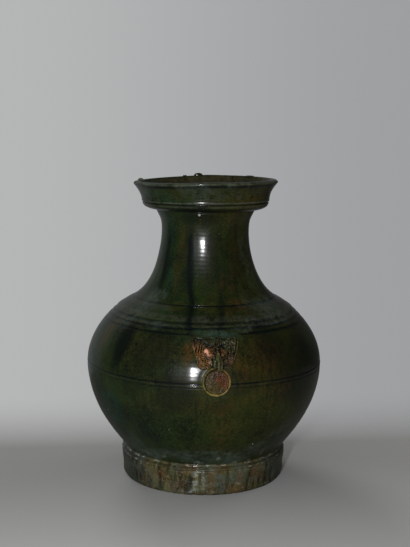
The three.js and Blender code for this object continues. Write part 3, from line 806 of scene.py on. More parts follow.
# The foot: base outwards, chipped edge, outside upwards, joint inwards, inside downwards.
def footRing():
    bore = jar["footRadius"] - foot["wall"]
    base, top, taper = foot["baseRadius"], jar["footTop"], jar["footRadius"] - foot["baseRadius"]
    chips = footChips(turns)
    broken = foot["chip"] * 0.6 * chips
    lip = np.linspace(0, 1, 5)[:-1, None]
    edgeRadius = base - foot["edge"] * (1 - lip) - broken
    edgeRise = foot["edge"] * 1.4 * lip + 1.4 * chips * lip * (1 - lip) * 2
    outer = rowHeights(foot["edge"] * 1.4, top - 0.2, 0.9)
    profile = [base, base + 0.3 * taper, base + taper, base + 0.87 * taper]
    shape = np.interp(outer, [2.4, 0.45 * top, 0.9 * top, top], profile)
    rough = 0.25 * drift(turns, outer, 26, 9, 93, 3) - broken * (1 - ease(2, 7.5, outer))
    flat = np.linspace(bore + foot["innerEdge"], base - foot["edge"] - foot["chip"], 7)[:, None]
    inner = np.linspace(top, foot["innerEdge"] * 1.5, 14)[:, None]
    finish = footFinish(turns, outer)
    parts = [
        (flat, 0 * flat, bareClay),
        (edgeRadius, edgeRise, footFinish(turns, edgeRise * 0.4)),
        (shape + rough, outer, finish),
        (oneRow(jar["footRadius"] - 0.9), oneRow(top), [colours[-1:] for colours in finish]),
        (bore + 0.3 * drift(turns, inner, 8, 14, 94), inner, bareClay),
    ]
    return finishPiece("footRing", turnedMesh("footRing", parts), footGlaze, "foot_ring")


footRing()

# The slip at the foot's joint. Its slope is radii by height above the foot's top, and each ridge has a
# height, a rise, a half width, and how many breaks and waves it has round the jar.
bead = {
    "slopeRise": [0, 1.5, 3, 4.4], "slope": [96.6, 96.7, 95.0, 93.6, 92.4, 92.6],
    "ridges": [(30.3, 0.55, 0.7, 60, 20), (34.2, 0.95, 0.8, 48, 16)],
}


# The bead of slip that hides the foot's joint: a slope from the foot to the bowl with two broken ridges.
def footSlip():
    low, high = jar["footTop"], jar["beadTop"]
    heights = np.linspace(low, high + 0.5, 26)[:, None]
    steps = [low + rise for rise in bead["slopeRise"]] + [high, high + 0.5]
    crumbs = 0.3 * drift(turns, heights, 150, 1.6, 103)
    ridges, on = 0.0, 0.0
    for k, (at, rise, half, breaks, waves) in enumerate(bead["ridges"]):
        broken = 0.55 + 0.6 * waver(turns, breaks, 101 + k, 3)
        ridges = ridges + rise * broken * bump(heights - at - 0.3 * waver(turns, waves, 104 + k), half)
        on = on + bump(heights - at, half + 0.1)
    radii = np.interp(heights, steps, bead["slope"]) + ridges
    radii = radii + crumbs * ease(low, low + 1, heights) * ease(high + 0.5, high - 0.4, heights)
    stain, weather = footFinish(turns, heights)
    patchy = 0.5 * drift(turns, heights, 9, 40, 107, 1)
    chalk = ease(0.1, 1.1, drift(turns, heights, 130, 2.4, 106, 3) + patchy)
    left = ease(35, -15, frontDegrees(turns))
    weather[..., 2] = np.clip((0.5 + 0.6 * left) * chalk * on, 0, 1)
    weather[..., 3] = np.clip(0.75 - 0.4 * on, 0, 1)
    inner = np.linspace(high, low + 0.1, 4)[:, None]
    parts = [
        (radii, heights, (stain, weather)),
        (0 * inner + jar["bowlBase"] - bowl["seatDepth"] - 0.2, inner, bareClay),
    ]
    return finishPiece("footSlip", turnedMesh("footSlip", parts), footGlaze, "foot_slip")


footSlip()
print("foot done")

cup = {
    "wall": 6.8, "land": 2.8, "bevel": 3.2, "bevelHeight": 3.1, "innerEdge": 1.4,
    "lineRise": 10.5, "lineHalf": 1.4, "lineDepth": 1.0, "ridge": 0.75, "dip": 3.3,
}
cup["line"] = jar["cupBase"] + cup["lineRise"]
cup["landStart"] = jar["lipRadius"] - cup["bevel"] - cup["land"]


# The shift in height of the cup's rim, which sagged to the left in the kiln.
def cupSag(turn):
    left = np.clip(-np.sin(turn + np.radians(5.7)), 0, 1) ** 0.8
    return -0.6 - cup["dip"] * left + 0.25 * waver(turn, 7, 111)


def quadratic(a, b, c, steps):
    t = np.linspace(0, 1, steps)[:, None]
    return (1 - t) ** 2 * np.array(a) + 2 * (1 - t) * t * np.array(b) + t**2 * np.array(c)


# Section of the cup: underside out to the step, an incised line under a ridge, the flare, a rounded lip
# with a flat land, and the dished inside down to the neck's bore.
def cupSection():
    low, line, top = jar["cupBase"] + halfSeam, cup["line"], jar["lip"]
    radius, lip = jar["cup"], jar["lipRadius"]
    rise, flare = top - line, lip - radius
    under, over = line - cup["lineHalf"], line + cup["lineHalf"]
    cut, proud = radius - cup["lineDepth"], radius + cup["ridge"]
    landOuter = lip - cup["bevel"]
    landInner = landOuter - cup["land"]
    shoulder = lip - 0.12, top - 0.62 * cup["bevelHeight"]
    turnIn = landInner - cup["innerEdge"], top - cup["innerEdge"]
    wall = radius - cup["wall"]
    bore = float(np.interp(jar["cupBase"], *tracedOutline(jar["neckWall"]).T[::-1]))
    outer = np.concatenate([
        bezier((jar["neckTop"] + 0.35, low), (radius - 0.7 * flare, low + 0.3),
               (radius - 0.16 * flare, line - 0.62 * (line - low)), (radius - 0.9, line - 3.8), 20)[0],
        quadratic((radius - 0.9, line - 3.8), (radius - 0.35, line - 2.9), (radius, under), 8)[1:-1],
        [[radius - 0.01, under - 0.03]],
        quadratic((radius, under), (cut, line - 0.4), (cut, line), 6),
        quadratic((cut, line), (radius + 0.1, line + 0.4), (proud, over), 7)[1:],
        bezier((proud - 0.05, over + 0.8), (proud + 0.3, line + 0.35 * rise),
               (lip - 0.62 * flare, top - 0.4 * rise), (lip, top - 1.05 * cup["bevelHeight"]), 36)[0],
        quadratic((lip, top - 1.05 * cup["bevelHeight"]), (lip + 0.02, top - 0.85 * cup["bevelHeight"]),
                  shoulder, 6)[1:],
        quadratic(shoulder, (lip - 0.35 * cup["bevel"], top - 0.15 * cup["bevelHeight"]),
                  (landOuter, top), 10)[1:],
        [[landOuter - 0.5 * cup["land"], top + 0.1]],
    ])
    inner = np.concatenate([
        quadratic((landInner, top), (landInner - 0.9, top - 0.1), turnIn, 5),
        bezier(turnIn, (wall + 0.5 * flare, top - 0.55 * rise),
               (wall + 0.1 * flare, line + 0.24 * rise), (wall - 0.1 * flare, line), 26)[0][1:],
        quadratic((wall - 0.1 * flare, line), (wall - 0.4 * flare, low + 0.4 * (line - low)),
                  (bore, low), 12)[1:],
    ])
    return outer, inner


# The lip's damage: nicks all round its edge, how near a place is to its left end, and the grit that
# stands on it there.
def lipDamage(turn):
    nicks = ease(0.45, 1.1, waver(turn, 60, 121)) * 0.6
    left = bump(across(turn, jar["lip"], -97), 16)
    return nicks, left, waver(turn, 130, 122) * left


# The cup's glaze: the wall's outside, browner within, and pooled in the line. Greyer, thinner glaze on
# the ridge and along the lip's edge, and a pale dull band under the lip's top, are painted highlight;
# the darker underside below the line and the dark band and pool under the lip are painted shade, and
# the step under the line is painted paler.
def cupFinish(radii, heights, outside, atEdge):
    nicks, left, lumps = lipDamage(turns)
    line, top = cup["line"], jar["lip"]
    stain, weather = wallFinish(turns, heights)
    within = np.where(outside, 0.0, 1.0) * ease(top + 0.5, top - 3, heights)
    stain[..., 1] = between(stain[..., 1], 0.4 + 0.4 * drift(turns, heights, 9, 12, 124, 3), within)
    stain[..., 2] = between(stain[..., 2], 1.0 + 0.2 * drift(turns, heights, 12, 10, 125, 3), within)
    stain[..., 3] = stain[..., 3] * (1 - within) + 0.45 * left * atEdge
    # Painted shade: darker below the line, on the underside, and in a band under the lip.
    dark = 0.6 * ease(line - 3.6, line - 6.4, heights) + 0.5 * bump(heights - top + 5.2, 1.6)
    stain[..., 0] = stain[..., 0] * (1 - 0.8 * within) + outside * dark
    # Painted highlight: grey on the lip's edge and on the ridge, with a grey patch inside at the far left.
    edge = bump(heights - top + 0.6, 1.6) * ease(cup["landStart"], cup["landStart"] + 1.5, radii)
    ridge = bump(heights - line - 1.6, 0.9) * outside
    grey = bump((turns - np.radians(250)) * 75, 44) * within + 0.6 * edge
    grey = grey + (ridge + 0.4 * bump(heights - top + 2.1, 1.1) * outside) * 0.9
    haze = 0.3 * ease(0, 1, drift(turns, heights, 12, 14, 126, 3))
    weather[..., 0] = np.clip((weather[..., 0] + haze) * (1 - within) + grey, 0, 1)
    stain[..., 1] = stain[..., 1] * (1 - grey * within)
    patchy = 0.5 + 0.5 * waver(turns, 26, 127, 3)
    # A pale dull band just under the lip's top and on the ridge: painted highlight.
    dull = 0.2 * patchy * bump(heights - top + 2.1, 1.2) * outside + 0.08 * ridge
    crustAndHighlight = 0.5 * left * ease(0.0, 0.8, lumps) * atEdge + 0.25 * nicks * atEdge
    weather[..., 2] = np.clip(crustAndHighlight + dull, 0, 1)
    # Pooled in the line; the pool under the lip is painted shade, and the step's thinner glaze painted
    # light.
    pooled = 0.4 * bump(heights - line + 0.3, 0.9) + 0.5 * bump(heights - top + 4.6, 1.3)
    step = 0.3 * bump(heights - line + 2.7, 1.1)
    thinned = 0.35 * ridge + 0.3 * edge + 0.25 * within
    weather[..., 3] = np.clip(0.5 + (pooled - step) * outside - thinned, 0, 1)
    return stain, weather


def mouthCup():
    outer, inner = cupSection()
    section = np.concatenate([outer, inner])
    radii, heights = section[:, :1], section[:, 1:]
    outside = (np.arange(len(section)) < len(outer))[:, None]
    nicks, _, lumps = lipDamage(turns)
    nearLip = ease(0.86 * jar["lipRadius"], 0.95 * jar["lipRadius"], radii)
    atEdge = bump(heights - (jar["lip"] - 2.5), 3.2) * nearLip
    hand = 0.3 * drift(turns, heights, 5, 30, 123, 3) + 0.07 * np.sin(2 * np.pi * heights / 3.1 + turns)
    settle = ease(0.5, 5, heights - jar["cupBase"]) * np.where(outside, 1, 0.7)
    sag = cupSag(turns) * ease(jar["cupBase"], jar["lip"] - 6, heights)
    tight = np.linspace(inner[-1, 0], jar["neckTop"], 4)[1:, None]
    parts = [
        (radii + hand * settle + atEdge * (0.9 * lumps - 0.8 * nicks),
         heights + sag + atEdge * (0.9 * lumps - 0.5 * nicks), cupFinish(radii, heights, outside, atEdge)),
        (tight, oneRow(jar["cupBase"] + halfSeam), bareClay),
    ]
    return finishPiece("mouthCup", turnedMesh("mouthCup", parts), bodyGlaze, "mouth_cup")


mouthCup()
print("mouth done")

# Sprigs: the mask and the ring, which stand on the belly's wall. side is the distance round from the
# front's middle and out is the distance square to the wall.
mask = {
    "top": 186.5, "tip": 152.0, "reach": 27.0, "plate": 1.4, "skirt": 1.4, "step": 0.27,
    "nose": 1.9, "fit": 0.3, "wallRadius": 138, "back": (0.0, 170.0, -3.0),
    "flankHeights": [150, 160, 168, 179, 187],
    "leftFlank": [17.0, 20.6, 22.4, 25.3, 26.0], "rightFlank": [17.0, 19.8, 21.8, 24.8, 25.6],
}
ring = {"centre": jar["ringHeight"], "radius": 15.6, "band": 2.9, "rise": 2.1, "disc": 1.15,
        "back": -2.0, "spokes": 180}


def onWall(side, height, out):
    slope = outlineRadius(height + 0.5) - outlineRadius(height - 0.5)
    tilt = np.hypot(1, slope)
    radius = outlineRadius(height) + out / tilt
    turn = side / outlineRadius(height)
    return np.stack([radius * np.sin(turn), -radius * np.cos(turn), height - out * slope / tilt], axis=-1)


# A random field over a sprig, where side is a length on the belly's wall and not an angle.
def sprigDrift(side, height, cells, tall, seed):
    return drift(side / mask["wallRadius"], height, cells, tall, seed)


# A spiral groove: the angle round its middle runs on with the distance from it.
def curl(x, y, radius, pitch, hand):
    reach = np.hypot(x, y)
    wave = 0.5 + 0.5 * np.cos(hand * np.arctan2(y, x) + 2 * np.pi * reach / pitch)
    return wave * (1 - ease(radius - 1.2, radius, reach))


# How far inside the mask's outline a place lies: a plate with a wavy top and sides that draw in, a
# round cheek on each side, and between them an edge that follows the ring.
def maskInside(side, height):
    leftHalf = np.interp(height, mask["flankHeights"], mask["leftFlank"])
    rightHalf = np.interp(height, mask["flankHeights"], mask["rightFlank"])
    flank = np.where(side < 0, leftHalf + side, rightHalf - side)
    crown = mask["top"] + 0.5 * np.cos(side / 4.2) - 0.008 * np.abs(side) ** 1.5
    overRing = np.hypot(side, height - ring["centre"]) - ring["radius"] - mask["fit"]
    under = np.minimum(overRing, height - between(154.0, 161.5, ease(8, 15, np.abs(side))))
    plate = np.minimum(np.minimum(flank, crown - height), under)
    leftCheek = 7.3 - np.hypot((side + 14.3) * 1.08, height - 161.4)
    rightCheek = 6.4 - np.hypot((side - 14.2) * 1.02, height - 164.4)
    nose = np.minimum(6.3 - np.abs(side - mask["nose"]), height - mask["tip"] - 5)
    nose = np.minimum(nose, 172 - height)
    tongue = 6.1 - np.hypot(side - mask["nose"], height - mask["tip"] - 6.0)
    return np.maximum.reduce([plate, leftCheek, rightCheek, nose, tongue])


# Distance along and across a slanted feature, from its middle.
def slanted(x, y, degrees):
    c, s = np.cos(np.radians(degrees)), np.sin(np.radians(degrees))
    return x * c + y * s, -x * s + y * c


# 1 between two values and 0 outside them, eased over lead after the first and over trail before the last.
def window(low, high, value, lead, trail):
    return ease(low, low + lead, value) * ease(high, high - trail, value)


# The mask's relief. Its paired features are mirrored about a line beside the nose, and the hand's press
# leaves it uneven.
def maskRelief(side, height):
    shift, lift = (0.55 * sprigDrift(side, height, 170, 5, seed) for seed in (135, 136))
    side, height = side + shift, height + lift
    x, left = np.abs(side - 0.4), side < 0.4
    inside = maskInside(side, height)
    border = 0.7 * bump(np.clip(inside, 0, 9) - 1.0, 0.7) * window(163, 186, height, 5, 6)
    moat = -0.6 * bump(np.clip(inside, 0, 9) - 2.5, 0.7) * window(166, 186, height, 5, 6)

    alongBrow, acrossBrow = slanted(x - 9.0, height - 180.6, 24)
    brow = 1.15 * bump(acrossBrow - 0.03 * alongBrow**2, 1.3) * (1 - ease(6.5, 8, np.abs(alongBrow)))
    brow = brow * (0.75 + 0.25 * np.cos(alongBrow * 3.1))
    hollow = -1.25 * bump(np.hypot((x - 7.4) / 1.5, height - 177.4), 2.3)
    alongEye, acrossEye = slanted(x - 8.2, height - 170.5, 42)
    lens = 1 - (alongEye / 5.4) ** 2 - np.abs(acrossEye / 2.9) ** 1.6
    tilt = 0.13 * (height - 170.5) + 0.07 * (side + 8.2)  # turns the left eye to the light
    eye = 2.3 * np.clip(lens, 0, 1) ** 0.5 + np.where(left, tilt, 0) * ease(0, 0.3, lens)
    lid = 0.8 * bump(lens + 0.28, 0.2)
    ditch = -0.7 * bump(lens + 0.75, 0.35)

    away = np.abs(side - mask["nose"])
    noseBody = np.clip(1 - (away / between(2.0, 5.6, ease(171, 157, height))) ** 3, 0, 1)
    nose = 3.0 * noseBody * ease(180, 168, height)
    wings = 1.1 * bump(np.hypot((away - 4.1) / 1.1, (height - 158.4) / 2.2), 1.7)
    creases = 0.6 * np.cos(2 * np.pi * away / 4.1) * window(152.5, 169, height, 3, 5) * ease(7, 6, away)
    bridge = 0.4 * np.cos(height * 2.3) * noseBody * window(165, 179, height, 4, 3)

    cheekX, cheekY = x - 14.3, height - 163.4 - np.where(left, -0.6, 1.6)
    cheek = 1.0 * bump(np.hypot(cheekX, cheekY), 5.2)
    cheek = cheek + 0.85 * curl(cheekX + 2 * lift, cheekY + 2 * shift, 5.8, 2.9, 1)
    hornX, hornY = x - 18.0, height - 181.8
    horn = 0.6 * bump(np.hypot(hornX, hornY), 4.6) + 0.55 * curl(hornX, hornY, 5.2, 2.7, -1)
    crest = 0.8 * bump(np.hypot(x / 1.3, height - 179.6), 3.6)
    crest = crest + 0.3 * curl(x - 3.8, height - 183.4, 2.8, 2.0, 1)
    rib = np.cos(2 * np.pi * (x + 0.16 * (height - 176) + 0.4 * lift) / 2.8)
    hair = np.where(left, 0.75, 0.35) * rib * ease(12, 13.6, x) * window(169.5, 179.5, height, 3, 3)
    jaw = 0.55 * np.cos((height - 0.9 * x) * 2.3)
    jaw = jaw * window(7, 13.5, x, 1.5, 2) * window(156, 168, height, 3, 2.5)

    features = np.maximum.reduce([nose + wings + creases + bridge, eye + lid + ditch, brow, cheek, horn])
    relief = features + hollow + crest + hair + jaw + border + moat
    press = 1 + 0.12 * np.sin(side / 5.3 + 1) * np.sin(height / 4.1)
    grit = 0.36 * sprigDrift(side, height, 600, 1.45, 131) + 0.45 * sprigDrift(side, height, 260, 3.4, 132)
    grit = grit * between(1, 0.55, ease(178, 182, height))
    return mask["plate"] + press * relief + grit * ease(0.5, 2, inside)


# The glaze ran off what stands higher than the surface round it, and pooled in what lies lower.
def reliefFinish(relief, soft, amber, teal, bloomAndSheen):
    stand = np.clip((relief - soft) * 0.55, -0.5, 0.5) * np.where(relief > soft, 1 - 0.75 * teal, 1)
    sunk = np.clip(-2.8 * stand - 0.08, 0, 1)
    return layer(sunk * 0.8, amber, 0.45, teal), layer(bloomAndSheen, 0, 0, 0.5 - stand)


# Mean over a square of cells, by sums along each axis in turn.
def softened(field, width):
    for axis in (0, 1):
        pad = [(width, width) if k == axis else (0, 0) for k in (0, 1)]
        total = np.cumsum(np.pad(field, pad, mode="edge"), axis=axis)
        size = field.shape[axis]
        upper = np.take(total, np.arange(2 * width, 2 * width + size), axis=axis)
        lower = np.take(total, np.arange(0, size), axis=axis)
        field = (upper - lower) / (2 * width)
    return field


# A grid of front points closed behind: its border meets one back point in a fan.
def patchMesh(name, front, back):
    index, quads = openGrid(*front.shape[:2])
    border = np.concatenate([index[0, :-1], index[:-1, -1], index[-1, :0:-1], index[:0:-1, 0]])
    fans = np.stack([np.roll(border, -1), border, np.full(len(border), index.size)], axis=-1)
    return fillMesh(name, np.concatenate([front.reshape(-1, 3), [back]]), quads, fans)


# The sprigs' bloom colour is a pale pink, which paints highlights: on the left eye, on the mask's left
# border and as glints on the ring.
sprigLook = bodyLook | {
    "deep": (24, 23, 10), "green": (52, 48, 24), "olive": (78, 66, 22),
    "amber": (112, 54, 14), "teal": (54, 78, 56), "thin": (118, 98, 56),
    "dark": (12, 13, 8), "fleck": (130, 116, 70), "bloomAndSheen": (240, 178, 150),
    "bloomAndSheenStrength": 0.9, "fleckStrength": 0.25, "rough": 0.42, "coat": 0.2, "coatRough": 0.24,
    "peel": 0.03, "pebble": 0.05, "streakScale": 420.0, "streakStretch": 0.6,
}
sprigGlaze = glazeMaterial("sprigGlaze", sprigLook)
ringLook = sprigLook | {
    "amber": (104, 44, 10), "olive": (84, 72, 20), "thin": (134, 124, 66),
    "coat": 0.1, "rough": 0.5,
}
ringGlaze = glazeMaterial("ringGlaze", ringLook)

# Where the mask's glaze changes: distance across, height, half width, half height and strength. The
# first list is dark glaze at the top, and painted shade in the hollows over the eyes, in the gaps beside
# the nose and over the right half; the last is painted highlight on the left eye, along the left border
# and under the eye, and a paler right cheek.
maskDabs = {
    "darkGlazeAndShade": [
        (1.5, 176, 8, 7, 0.62), (-19, 183, 12, 6.5, 0.6), (2, 187.5, 28, 3.4, 0.5), (16, 177, 8, 8, 0.4),
        (-8.5, 179.6, 3.6, 2.2, 1), (6, 178, 2.6, 2.2, 1), (-4.4, 161, 1.2, 5, 0.9), (9.2, 160, 1.3, 5, 0.5),
        (0, 184.8, 30, 5.4, 0.55), (14, 167, 10, 13, 0.5), (-22, 186, 8, 5, 0.6),
    ],
    "amber": [
        (-18.5, 173.6, 7, 6, 1), (-8.5, 170.5, 6.5, 6.5, 1), (5.5, 170, 3.4, 5, 1), (-13, 163, 6, 7, 0.6),
    ],
    "olive": [(-13, 161, 7.5, 8, 1), (17, 177, 7, 8, 0.6), (-20, 172, 6, 9, 0.5), (1.9, 160, 6, 9, 1)],
    "teal": [(0, 186, 29, 8, 1), (1.9, 160, 7, 10, 1), (14, 178, 12, 9, 0.7)],
    "bloomAndSheen": [
        (-10.2, 172.4, 2.1, 2.6, 1), (-9.0, 170.2, 1.7, 2.4, 0.9), (-7.4, 168.2, 2.8, 1.0, 0.8),
        (-7, 161.8, 1.3, 1.3, 0.4), (-24.0, 175, 1.0, 5, 0.5), (15, 163.5, 5, 5, 0.16),
    ],
}


def dabbed(colour, side, height):
    return ovals(maskDabs[colour], lambda at: side - at, height, 0.5, 1.3)


def maskPiece(name, node, facing):
    sides = np.arange(-mask["reach"], mask["reach"] + 0.1, mask["step"])[None, :]
    heights = np.arange(mask["tip"] - 1.4, mask["top"] + 2.0, mask["step"])[:, None]
    relief = maskRelief(sides, heights)
    edge = ease(-0.35, 0.75, maskInside(sides, heights))
    out = relief * edge - mask["skirt"] * (1 - edge)
    points = onWall(sides + 0 * heights, heights + 0 * sides, out) * facing
    mesh = patchMesh(name, points, onWall(*mask["back"]) * facing)
    ragged = 0.9 * sprigDrift(sides, heights, 220, 4, 137)
    at, up = sides * facing[0] + ragged, heights + ragged  # the far mask has its colours the other way round
    # The dabs bring in the mask's painted shade and painted highlight.
    darkGlazeAndShade, amber, olive, teal, bloomAndSheen = (dabbed(colour, at, up) for colour in maskDabs)
    amber = amber + 0.2 * ease(184, 178, up)
    stain, weather = reliefFinish(relief, softened(relief, 7), amber, teal, bloomAndSheen)
    stain[..., 0] = np.clip(stain[..., 0] + darkGlazeAndShade, 0, 0.97)
    stain[..., 2] = 0.3 + olive
    paintMesh(mesh, stain, weather)
    return finishPiece(name, mesh, sprigGlaze, node)


# The mock ring: a disc of thin clay, a gap, a half-round band, and a skirt that sinks into the wall.
def ringPiece(name, node, facing):
    angles = np.linspace(0, 2 * np.pi, ring["spokes"], endpoint=False)[None, :]
    inner = ring["radius"] - ring["band"]
    bandMiddle = ring["radius"] - ring["band"] / 2
    disc = np.linspace(0.3, inner - 0.5, 40)[:, None]
    band = bandMiddle + np.linspace(-1, 1, 17)[:, None] * ring["band"] / 2
    reach = np.concatenate([disc, band, [[ring["radius"] + 0.12]]]) + 0 * angles
    x, y = reach * np.cos(angles), reach * np.sin(angles)
    pellets = 0.24 * sprigDrift(x, y + 60, 640, 1.3, 133) + 0.1 * sprigDrift(x, y + 60, 240, 3.4, 134)
    crescent = ease(-0.1, 0.8, np.cos(angles - 2.3))  # the gap is open at the upper left only
    gap = -1.1 * bump(reach - inner + 0.1, 0.9) * crescent
    onDisc = ring["disc"] + 0.85 * pellets + 0.6 * ease(inner - 5, inner, reach) * (1 - crescent)
    share = np.clip((reach - bandMiddle) / (ring["band"] / 2), -1, 1)
    lumpy = 1 + 0.09 * np.cos(angles * 3 + 1) + 0.07 * np.cos(angles * 7 + 2) + 0.05 * np.cos(angles * 17)
    onBand = ring["rise"] * np.sqrt(np.clip(1 - share**2, 0, 1)) * lumpy
    out = np.where(reach > inner, np.maximum(onBand, 0.2), onDisc + gap)
    out[-1] = -mask["skirt"]
    points = onWall(x, ring["centre"] + y, out) * facing
    ends = [onWall(0.0, ring["centre"], ring[level]) * facing for level in ("disc", "back")]
    mesh = gridMesh(name, points, ends)

    banded = ease(inner - 0.6, inner + 0.4, reach)
    amber = between(0.5 + 0.6 * np.cos(angles - 0.5), 0.25 * ease(0, 1, np.cos(angles - 1)), banded)
    # Mauve painted glints on the disc's left side.
    mauveGlints = bump(np.hypot(x + 7, y - 4), 3.4) + bump(np.hypot(x + 7, y + 3), 2.6)
    bloomAndSheen = 0.26 * mauveGlints * ease(-0.05, 0.3, pellets) * (1 - banded)
    bloomAndSheen = bloomAndSheen + 0.12 * banded * ease(0.2, 1, np.cos(angles))
    stain, weather = reliefFinish(out, softened(out, 4), amber, 0, bloomAndSheen)
    # The disc is darker, most in the gap at the upper left, where the dark is also painted shade; the band's
    # outer flank is painted darker, painted shade where it meets the wall.
    dark = stain[..., 0] * between(between(0.3, 1, crescent), 1, banded) + 0.3 * (1 - banded)
    stain[..., 0] = dark + 0.6 * ease(0.45, 0.9, share)
    stain[..., 2] = 0.5 + 0.5 * ease(3, -9, y) + 0.3 * banded
    crest = bump(share + 0.25, 0.3) * ease(0.5, -0.5, np.cos(angles - 0.9)) * banded
    glint = 0.45 * banded * bump(np.hypot(x + 3, y + 14), 5) + 0.3 * crest
    weather[..., 3] = weather[..., 3] - glint + 0.06 * (1 - banded)
    paintMesh(mesh, stain, weather)
    return finishPiece(name, mesh, ringGlaze, node)


for side, facing in (("front", (1, 1, 1)), ("back", (-1, -1, 1))):
    maskPiece(side + "Mask", side + "_mask", np.array(facing, float))
    ringPiece(side + "Ring", side + "_ring", np.array(facing, float))
print("masks and rings done")

# Drops of glaze and grit on the lip, and small beads and specks on the wall.
# The drops' crust colour is near white: on the neck bead it paints the bead's highlight.
dropLook = bodyLook | {
    "deep": (14, 14, 8), "green": (26, 24, 12), "crustAndHighlight": (205, 208, 200),
    "coat": 1.0, "coatRough": 0.15, "peel": 0.0, "pebble": 0.0,
}
gritLook = bodyLook | {
    "deep": (38, 40, 33), "green": (60, 61, 52), "crustAndHighlight": (130, 130, 112),
    "rough": 0.5, "coatRough": 0.3,
}
lumpGlazes = {
    "glaze_drop": glazeMaterial("dropGlaze", dropLook),
    "kiln_grit": glazeMaterial("gritGlaze", gritLook),
}
rimLumps = [
    {"name": "rimDropLarge", "node": "rim_drop_large", "lumps": 0.05, "slot": "glaze_drop"},
    {"name": "rimDropSmall", "node": "rim_drop_small", "lumps": 0.06, "slot": "glaze_drop"},
    {"name": "rimDropThin", "node": "rim_drop_thin", "lumps": 0.1, "slot": "glaze_drop"},
    {"name": "rimGrit", "node": "rim_grit", "lumps": 0.3, "slot": "kiln_grit", "crustAndHighlight": 0.5},
]
wallDrops = [
    # The neck bead's pale crust is a painted highlight.
    {"name": "neckBead", "degrees": -12.6, "height": 311.6, "size": (1.3, 1.3, 0.8),
     "lean": 0.2, "crustAndHighlight": 1.2},
    {"name": "neckDrip", "degrees": -11.8, "height": 305.0, "size": (1.3, 4.6, 0.4),
     "stain": (0, 1, 0.5, 0)},
]
wallSpecks = [
    {"name": "speckRight", "degrees": 23.5, "height": 62, "size": (0.7, 1.3, 0.5)},
    {"name": "speckLeft", "degrees": -22.8, "height": 84, "size": (0.6, 0.6, 0.45)},
    {"name": "speckNeck", "degrees": 12, "height": 290, "size": (0.5, 0.5, 0.4)},
    {"name": "speckEdge", "degrees": -62, "height": 92, "size": (0.7, 0.6, 0.45)},
    {"name": "speckBack", "degrees": 151, "height": 118, "size": (1.0, 0.8, 0.5)},
]
for drop in wallDrops:
    drop["slot"] = "glaze_drop"
for speck in wallSpecks:
    speck["slot"], speck["crustAndHighlight"] = "kiln_grit", 1.3
dome = {"around": 40, "rows": 12, "sunk": -0.9, "stain": (0.1, 0.1, 0.2, 0.1), "wallLumps": 0.12}


# A dome: the height falls as a quarter circle does towards the rim, over an uneven oval. axes are the
# directions of its width, its depth and its height.
def domePiece(lump, centre, axes, size, lumps, seed):
    around = np.linspace(0, 2 * np.pi, dome["around"], endpoint=False)[None, :]
    lean = np.linspace(0.06, 1, dome["rows"])[:, None] * np.pi / 2
    reach = np.sin(lean) * (1 + lumps * drift(around, 60 * lean, 6, 25, 500 + seed, 3))
    rise = np.cos(lean) * size[2] * (1 + 0.6 * lumps * drift(around, 60 * lean, 8, 20, 520 + seed, 3))
    reach = np.concatenate([reach, reach[-1:] * 0.96])
    rise = np.concatenate([rise, dome["sunk"] + 0 * around])
    wide, deep, out = (np.array(axis, float) for axis in axes)
    points = (np.array(centre) + (reach * np.cos(around) * size[0])[..., None] * wide
              + (reach * np.sin(around) * size[1])[..., None] * deep + rise[..., None] * out)
    ends = [np.array(centre) + level * out for level in (size[2], dome["sunk"])]
    mesh = gridMesh(lump["name"], points, ends)
    chalk = lump.get("crustAndHighlight", 0) * (0.7 + 0.5 * drift(around, 60 + 20 * rise, 9, 12, 540 + seed))
    stain = np.broadcast_to(lump.get("stain", dome["stain"]), chalk.shape + (4,))
    paintMesh(mesh, stain, layer(0, 0, chalk, 0.55))
    return finishPiece(lump["name"], mesh, lumpGlazes[lump["slot"]], lump.get("node"))


# A lump on the lip has its solid's size and place, and sinks with the sagged lip.
for k, lump in enumerate(rimLumps):
    low, high = (np.array(c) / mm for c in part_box(lump["node"]))
    spot, reach = (low + high) / 2, high - low
    bearing = math.atan2(spot[1], spot[0])
    c, s = math.cos(bearing), math.sin(bearing)
    sag = float(cupSag(np.array([bearing + np.pi / 2]))[0])
    size = (reach[0] * abs(s) + reach[1] * abs(c)) / 2, (reach[0] * abs(c) + reach[1] * abs(s)) / 2, reach[2]
    axes = (-s, c, 0), (c, s, 0), (0, 0, 1)
    domePiece(lump, (spot[0], spot[1], low[2] + sag), axes, size, lump["lumps"], k)

for k, drop in enumerate(wallDrops + wallSpecks):
    turn, height = math.radians(drop["degrees"]), drop["height"]
    here = float(wallRadius(oneRow(turn), oneRow(height))[0, 0])
    slope = float(outlineRadius(height + 0.5) - outlineRadius(height - 0.5)) * drop.get("lean", 1)
    out = Vector((math.sin(turn), -math.cos(turn), -slope)).normalized()
    wide = Vector((math.cos(turn), math.sin(turn), 0))
    place = here * math.sin(turn), -here * math.cos(turn), height
    domePiece(drop, place, (wide, out.cross(wide), out), drop["size"], dome["wallLumps"], 20 + k)
print("drops and specks done")

# The camera stands where the photograph was taken from.
view = {"place": (-118.0, -1184.0, 413.6), "azimuth": -5.7, "pitch": -8.41, "roll": 0.61, "lens": 67.2}
camera = placed("camera", bpy.data.cameras.new("camera"))
camera.data.lens = view["lens"]
camera.data.sensor_width = 36
camera.data.clip_start, camera.data.clip_end = 0.01, 50
aim = (Matrix.Rotation(math.radians(view["azimuth"]), 4, "Z")
       @ Matrix.Rotation(math.radians(90 + view["pitch"]), 4, "X")
       @ Matrix.Rotation(math.radians(view["roll"]), 4, "Z"))
camera.matrix_world = Matrix.Translation(Vector(view["place"]) * mm) @ aim
bpy.context.scene.camera = camera

paper = {"far": 0.37, "near": -6.0, "wide": 6.0, "steps": 12, "pale": swatch(186, 187, 184),
         "grey": swatch(154, 154, 152), "mirrored": swatch(90, 90, 88)}


